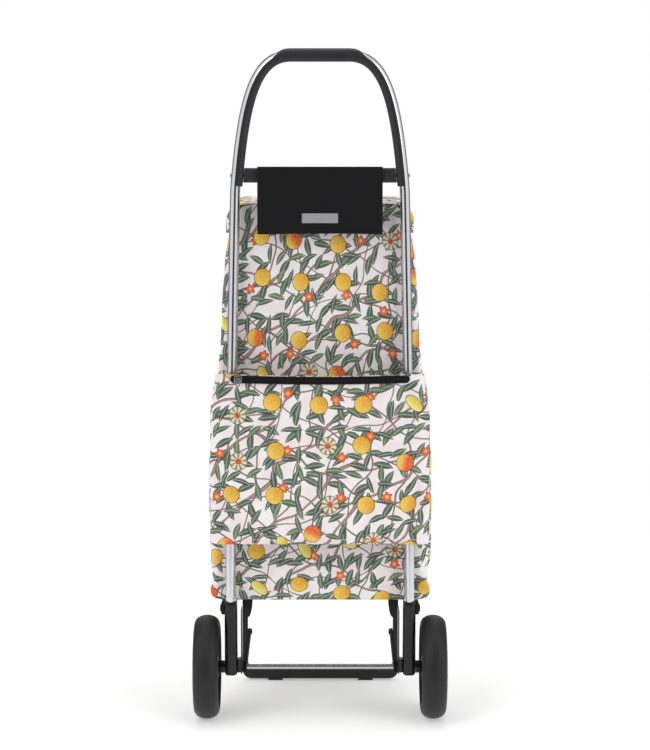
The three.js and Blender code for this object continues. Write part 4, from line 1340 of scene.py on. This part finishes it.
@dataclass
class Pocket:
    """The rear pocket with its zip."""

    thick: float = 0.9 * MM
    corner: float = 13 * MM
    sag: float = 3.2 * MM
    across: int = 130
    up: int = 64
    tooth_pitch: float = 1.9 * MM

    def __post_init__(self) -> None:
        """Reads the pocket's place from the frame."""
        self.low, self.high = corners("rear_pocket")
        self.tape_low, self.tape_high = corners("pocket_zip_tape")

    def plan(self, share: float, height: float) -> tuple[float, float, float]:
        """A place round the pocket's wrap, from its left edge on the bag to its right one.

        Args:
            share: 0 to 1 along the wrap.
            height: 0 at the pocket's foot to 1 at its mouth, where the wrap draws in.

        Returns:
            x, y and the cloth's run from the middle.
        """
        drawn = smooth_step(height, 0.74, 1.0)
        half = self.high.x - 7.5 * MM * drawn
        front, rear = self.low.y + 0.6 * MM, self.high.y - 0.4 * MM
        r = self.corner + 9 * MM * drawn
        side, bend, face = rear - front - r, r * math.pi / 2, half - r
        run = abs(2 * share - 1) * (side + bend + face)
        sign = 1 if share > 0.5 else -1
        if run <= face:
            return sign * run, front, sign * run
        if run <= face + bend:
            angle = (run - face) / r
            return (sign * (face + r * math.sin(angle)), front + r * (1 - math.cos(angle)),
                    sign * run)
        return sign * half, front + r + (run - face - bend), sign * run

    def top_edge(self, x: float) -> float:
        """Height of the pocket's mouth, which sags towards the middle."""
        return self.high.z - self.sag * max(0.0, math.cos(math.pi * x / (2 * self.high.x))) ** 1.5

    def build_panel(self) -> None:
        """The pocket's printed cloth, settled into slight folds."""
        points, uv, pins = [], [], []
        bottom_curl = 6
        front = self.low.y + 0.6 * MM
        for r in range(self.up):
            for c in range(self.across + 1):
                height = max(0.0, (r - bottom_curl) / (self.up - 1 - bottom_curl))
                x, y, run = self.plan(c / self.across, height)
                top = self.top_edge(x) - 17 * MM * smooth_step(y, self.low.y + 8 * MM, self.high.y)
                if r < bottom_curl:
                    angle = math.pi / 2 * (1 - r / bottom_curl)
                    turn = 5 * MM
                    z = self.low.z + turn * (1 - math.sin(angle))
                    y = y + turn * (1 - math.cos(angle)) * (1 if y < front + 12 * MM else 0)
                else:
                    z = self.low.z + 5 * MM + (top - self.low.z - 5 * MM) * height
                points.append((x, y, z))
                uv.append((run + 0.013, z - 0.021))
                edge = smooth_step(abs(run), self.high.x - 2 * MM, self.high.x + 12 * MM)
                pins.append(max(edge, 1 - smooth_step(r, 2, 6),
                                smooth_step(r, self.up - 5, self.up - 2), 0.01))
        panel = mesh_piece("pocket_cloth", points, grid_faces(self.up, self.across + 1), uv)
        drape(panel, pins, 0.018, 12, self.settle, 0.5, 0.0)
        for vertex in panel.data.vertices:
            inner = 1 - smooth_step(abs(vertex.co.x), self.high.x - 20 * MM, self.high.x - 5 * MM)
            vertex.co.y += inner * (puckers(vertex.co, 0.06, 1.1 * MM)
                                    + puckers(vertex.co, 0.024, 0.4 * MM) + 0.6 * MM)
        thickened(panel, self.thick)
        dressed(panel, Finish.PRINT, "frame", ["rear_pocket"])

    def settle(self, old: Vector, new: Vector) -> Vector:
        """Keeps the panel off the uprights and close to its pattern's shape."""
        move = new - old
        far = 6 * MM
        if move.length > far:
            move *= far / move.length
        place = old + move
        place.y = min(max(place.y, self.low.y - 3 * MM), max(old.y, self.low.y + 12 * MM))
        return place

    def build_zip(self) -> None:
        """The zip: tape, teeth and stitching, with the slider and its pull."""
        low, high = self.tape_low, self.tape_high
        half, middle = high.x, (low.z + high.z) / 2
        radius = (high.z - low.z) / 2
        columns, rows = 121, 9
        points, uv = [], []
        for r in range(rows):
            for c in range(columns):
                x = half * (2 * c / (columns - 1) - 1)
                end = max(0.0, abs(x) - (half - radius)) / radius
                tall = radius * math.sqrt(max(0.0, 1 - end * end)) * 0.94
                dip = self.sag * 0.8 * max(0.0, math.cos(math.pi * x / (2 * half)))
                z = middle + tall * (2 * r / (rows - 1) - 1) - dip
                points.append((x, high.y - 0.5 * MM, z))
                uv.append((x, z))
        tape = mesh_piece("zip_tape_cloth", points, grid_faces(rows, columns), uv)
        thickened(tape, 0.9 * MM, 0)
        dressed(tape, Finish.TAPE, "frame", ["pocket_zip_tape"])
        for name, offset, size, pitch, bead in (
                ("zip_teeth", 0.0, 2.6 * MM, self.tooth_pitch, Bead.TOOTH),
                ("zip_stitch_high", radius * 0.72, 2.2 * MM, 3.0 * MM, Bead.STITCH),
                ("zip_stitch_low", -radius * 0.72, 2.2 * MM, 3.0 * MM, Bead.STITCH)):
            line = []
            for i in range(61):
                x = (half - radius) * (2 * i / 60 - 1)
                dip = self.sag * 0.8 * max(0.0, math.cos(math.pi * x / (2 * half)))
                line.append((x, high.y - 1.5 * MM, middle + offset - dip))
            repeated(name, bead, [line], pitch, size, Finish.THREAD, "frame")
        refined("zip_slider", Finish.STEEL, "slider", 1.0 * MM)
        self.build_pull()

    def build_pull(self) -> None:
        """The slider's pull: a rounded tag with a long slot."""
        low, high = corners("zip_pull")
        middle, half, tall = (low + high) / 2, (high.x - low.x) / 2, (high.z - low.z) / 2
        deep, wall, count = (high.y - low.y) / 2, 1.5 * MM, 48

        def ring(inset: float, y: float) -> list[Vector]:
            """A stadium outline at one depth."""
            r, straight = half - inset, tall - half
            points = []
            for i in range(count):
                angle = 2 * math.pi * i / count
                sine = math.sin(angle)
                lift = math.copysign(straight, sine) if abs(sine) > 1e-6 else 0.0
                points.append(Vector((middle.x + r * math.cos(angle), y,
                                      middle.z + r * sine + lift)))
            return points

        rings = [ring(0, middle.y - deep), ring(0, middle.y + deep), ring(wall, middle.y + deep),
                 ring(wall, middle.y - deep), ring(0, middle.y - deep)]
        points = [p for one in rings for p in one]
        pull = outward(mesh_piece("zip_pull_fine", points, grid_faces(5, count, closed=True)))
        bevelled(pull, 0.35 * MM, 2, 40)
        dressed(pull, Finish.STEEL, "pull", ["zip_pull"])

    def build_seams(self) -> None:
        """Stitches along the pocket's foot."""
        front = self.low.y + 0.1 * MM
        foot, inset = self.low.z + 9 * MM, self.high.x - 16 * MM
        lines = [[(x * inset / 30, front, foot) for x in range(-30, 31)]]
        repeated("pocket_stitches", Bead.STITCH, lines, 3.4 * MM, 2.4 * MM, Finish.PALE_THREAD,
                 "frame")

    def build(self) -> None:
        """Every piece of the pocket."""
        self.build_panel()
        self.build_zip()
        self.build_seams()


@dataclass
class Hanger:
    """The black cloth over the crossbar: strap, flap and label."""

    thick: float = 1.2 * MM
    hem: float = 5 * MM

    def __post_init__(self) -> None:
        """Reads the hanger's place from the frame."""
        self.low, self.high = corners("hanger_flap")
        self.strap_low, self.strap_high = corners("hanger_strap")
        self.label_low, self.label_high = corners("flap_label")

    def build_flap(self) -> None:
        """The hanging flap with its turned hem."""
        rows, columns = 40, 64
        half, length = self.high.x, self.high.z - self.low.z
        points, uv = [], []
        for r in range(rows):
            for c in range(columns):
                x = half * (2 * c / (columns - 1) - 1)
                down = length * (1 - r / (rows - 1))
                near_top = max(0.0, 1 - down / (7 * MM))
                wave = 1.3 * MM * math.sin(3.1 * x / half + 0.6) * (down / length) ** 1.5
                y = self.low.y + 0.3 * MM + 1.2 * MM * near_top + wave * 0.8
                droop = 0.9 * MM * smooth_step(abs(x), half * 0.2, half) * (down / length)
                z = self.high.z - down - droop
                points.append((x, y, z))
                uv.append((x, z))
        flap = mesh_piece("flap_cloth", points, grid_faces(rows, columns), uv)
        thickened(flap, self.thick)
        dressed(flap, Finish.CANVAS, "flap", ["hanger_flap"])
        inset = half - self.hem
        low, high = self.low.z + self.hem, self.high.z - 8 * MM
        front = self.low.y - 0.2 * MM
        border = [(-inset, front, high), (-inset, front, low), (inset, front, low),
                  (inset, front, high)]
        repeated("flap_stitches", Bead.STITCH, [border], 3.2 * MM, 2.2 * MM, Finish.THREAD, "flap")

    def build_strap(self) -> None:
        """The strap that carries the bag, round the crossbar."""
        low, high = self.strap_low, self.strap_high
        path = [(high.y - 0.6 * MM, low.z + (high.z - 4 * MM - low.z) * i / 12) for i in range(13)]
        bend = [math.radians(x) for x in (22, 45, 68, 90)]
        path += [(high.y - 0.6 * MM - 4 * MM * (1 - math.cos(a)),
                  high.z - 4.6 * MM + 4 * MM * math.sin(a)) for a in bend]
        top, front = high.z - 0.6 * MM, low.y + 0.6 * MM
        path += [(high.y - 4.6 * MM + (front + 4 * MM - high.y + 4.6 * MM) * i / 4, top)
                 for i in range(1, 5)]
        path += [(front + 4 * MM * (1 - math.sin(a)), top - 4 * MM * (1 - math.cos(a)))
                 for a in bend]
        path += [(front, top - 4 * MM - 17 * MM * i / 4) for i in range(1, 5)]
        columns = 40
        points, uv, run = [], [], 0.0
        for k, (y, z) in enumerate(path):
            run += math.dist(path[k - 1], (y, z)) if k else 0.0
            for c in range(columns):
                x = high.x * (2 * c / (columns - 1) - 1)
                points.append((x, y, z))
                uv.append((x, run))
        strap = mesh_piece("strap_cloth", points, grid_faces(len(path), columns), uv)
        wall = strap.modifiers.new("wall", "SOLIDIFY")
        wall.thickness, wall.offset = 1.1 * MM, 0
        applied(strap)
        dressed(strap, Finish.CANVAS, "frame", ["hanger_strap"])

    def build_label(self) -> None:
        """A small blank woven label."""
        low, high = self.label_low, self.label_high
        front = low.y - 0.5 * MM
        half, tall = high.x, (high.z - low.z) / 2
        middle = (high.z + low.z) / 2
        points, uv = [], []
        for r in range(9):
            for c in range(33):
                x = half * (2 * c / 32 - 1)
                z = middle + tall * (2 * r / 8 - 1)
                points.append((x, front + 0.1 * MM * math.sin(9 * x / half), z))
                uv.append((x, z))
        label = mesh_piece("label_cloth_piece", points, grid_faces(9, 33), uv)
        thickened(label, 0.5 * MM, 0)
        dressed(label, Finish.LABEL, "flap", ["flap_label"])

    def build(self) -> None:
        """Every piece of the hanger."""
        self.build_strap()
        self.build_flap()
        self.build_label()


# ------------------------------------------------------------------ studio
@dataclass
class Studio:
    """A plain pale floor, soft lights and the camera."""

    distance: float = 3.7
    camera_height: float = 1.075
    pitch: float = 8.05
    lens: float = 114.5
    shift: float = 0.0078
    floor_reach: float = 1.5

    def build_camera(self, tube_y: float) -> None:
        """The camera on the user's side, looking slightly down."""
        data = bpy.data.cameras.new("camera")
        data.lens, data.sensor_width = self.lens, 36.0
        camera = bpy.data.objects.new("camera", data)
        camera.location = (self.shift, tube_y - self.distance, self.camera_height)
        camera.rotation_euler = (math.radians(90 - self.pitch), 0, 0)
        bpy.context.scene.collection.objects.link(camera)
        bpy.context.scene.camera = camera

    def build_floor(self) -> None:
        """A round pale floor, level with the white surround."""
        mesh = bpy.data.meshes.new("floor")
        rim = [(self.floor_reach * math.cos(a), self.floor_reach * math.sin(a), 0)
               for a in (2 * math.pi * i / 96 for i in range(96))]
        mesh.from_pydata(rim, [], [tuple(range(96))])
        floor = new_object("floor", mesh)
        material = bpy.data.materials.new("floor")
        material.use_nodes = True
        shader = material.node_tree.nodes["Principled BSDF"]
        shader.inputs["Base Color"].default_value = (0.86, 0.86, 0.86, 1)
        shader.inputs["Roughness"].default_value = 0.9
        shader.inputs["Specular IOR Level"].default_value = 0.0
        shader.inputs["Emission Color"].default_value = (1, 1, 1, 1)
        shader.inputs["Emission Strength"].default_value = 0.36
        mesh.materials.append(material)

    def build_lights(self) -> None:
        """Soft lights and a pale surround, darker behind the camera."""
        for name, place, size, power, target in (
                ("key", (-1.9, -2.6, 2.9), 1.9, 26, (0, 0, 0.5)),
                ("fill", (2.3, -2.2, 1.9), 1.8, 16, (0, 0, 0.5)),
                ("top", (0, 0.3, 3.4), 2.2, 22, (0, 0, 0.0))):
            data = bpy.data.lights.new(name, "AREA")
            data.size, data.energy = size, power
            light = bpy.data.objects.new(name, data)
            light.location = place
            aim = Vector(target) - Vector(place)
            light.rotation_euler = aim.to_track_quat("-Z", "Y").to_euler()
            bpy.context.scene.collection.objects.link(light)
        bench = SkyBench("surround")
        x, y, _ = bench.split(bench.node("ShaderNodeTexCoord", {}, {}).outputs["Generated"])
        round_from_user = bench.math("ARCTAN2", abs(x), y * -1.0)
        behind_user = (0.5 - round_from_user).soft(0.12)
        flags = (round_from_user - 1.95).soft(0.2) * (2.8 - round_from_user).soft(0.2) * 0.8
        seen = Wire(bench, bench.node("ShaderNodeLightPath", {}, {}).outputs["Is Camera Ray"])
        shade = (behind_user + flags) * (1.0 - seen)
        colour = bench.mix(shade, (1.0, 1.0, 1.0, 1.0), (0.02, 0.02, 0.022, 1.0))
        bench.feed(bench.shader.inputs[0], colour)
        bpy.context.scene.world = bench.world
        bpy.context.scene.view_settings.view_transform = "Standard"

    def build(self, tube_y: float) -> None:
        """Everything round the trolley."""
        self.build_camera(tube_y)
        self.build_floor()
        self.build_lights()


def main() -> None:
    """Builds the studio and the trolley."""
    logging.basicConfig(level=logging.INFO, format="%(message)s")
    tube = TubeFrame()
    Studio().build(tube.y)
    tube.build()
    for side in SIDES:
        Wheel(side).build()
    Undercarriage().build()
    Bag().build()
    Pocket().build()
    Hanger().build()


if __name__ == "__main__":
    main()
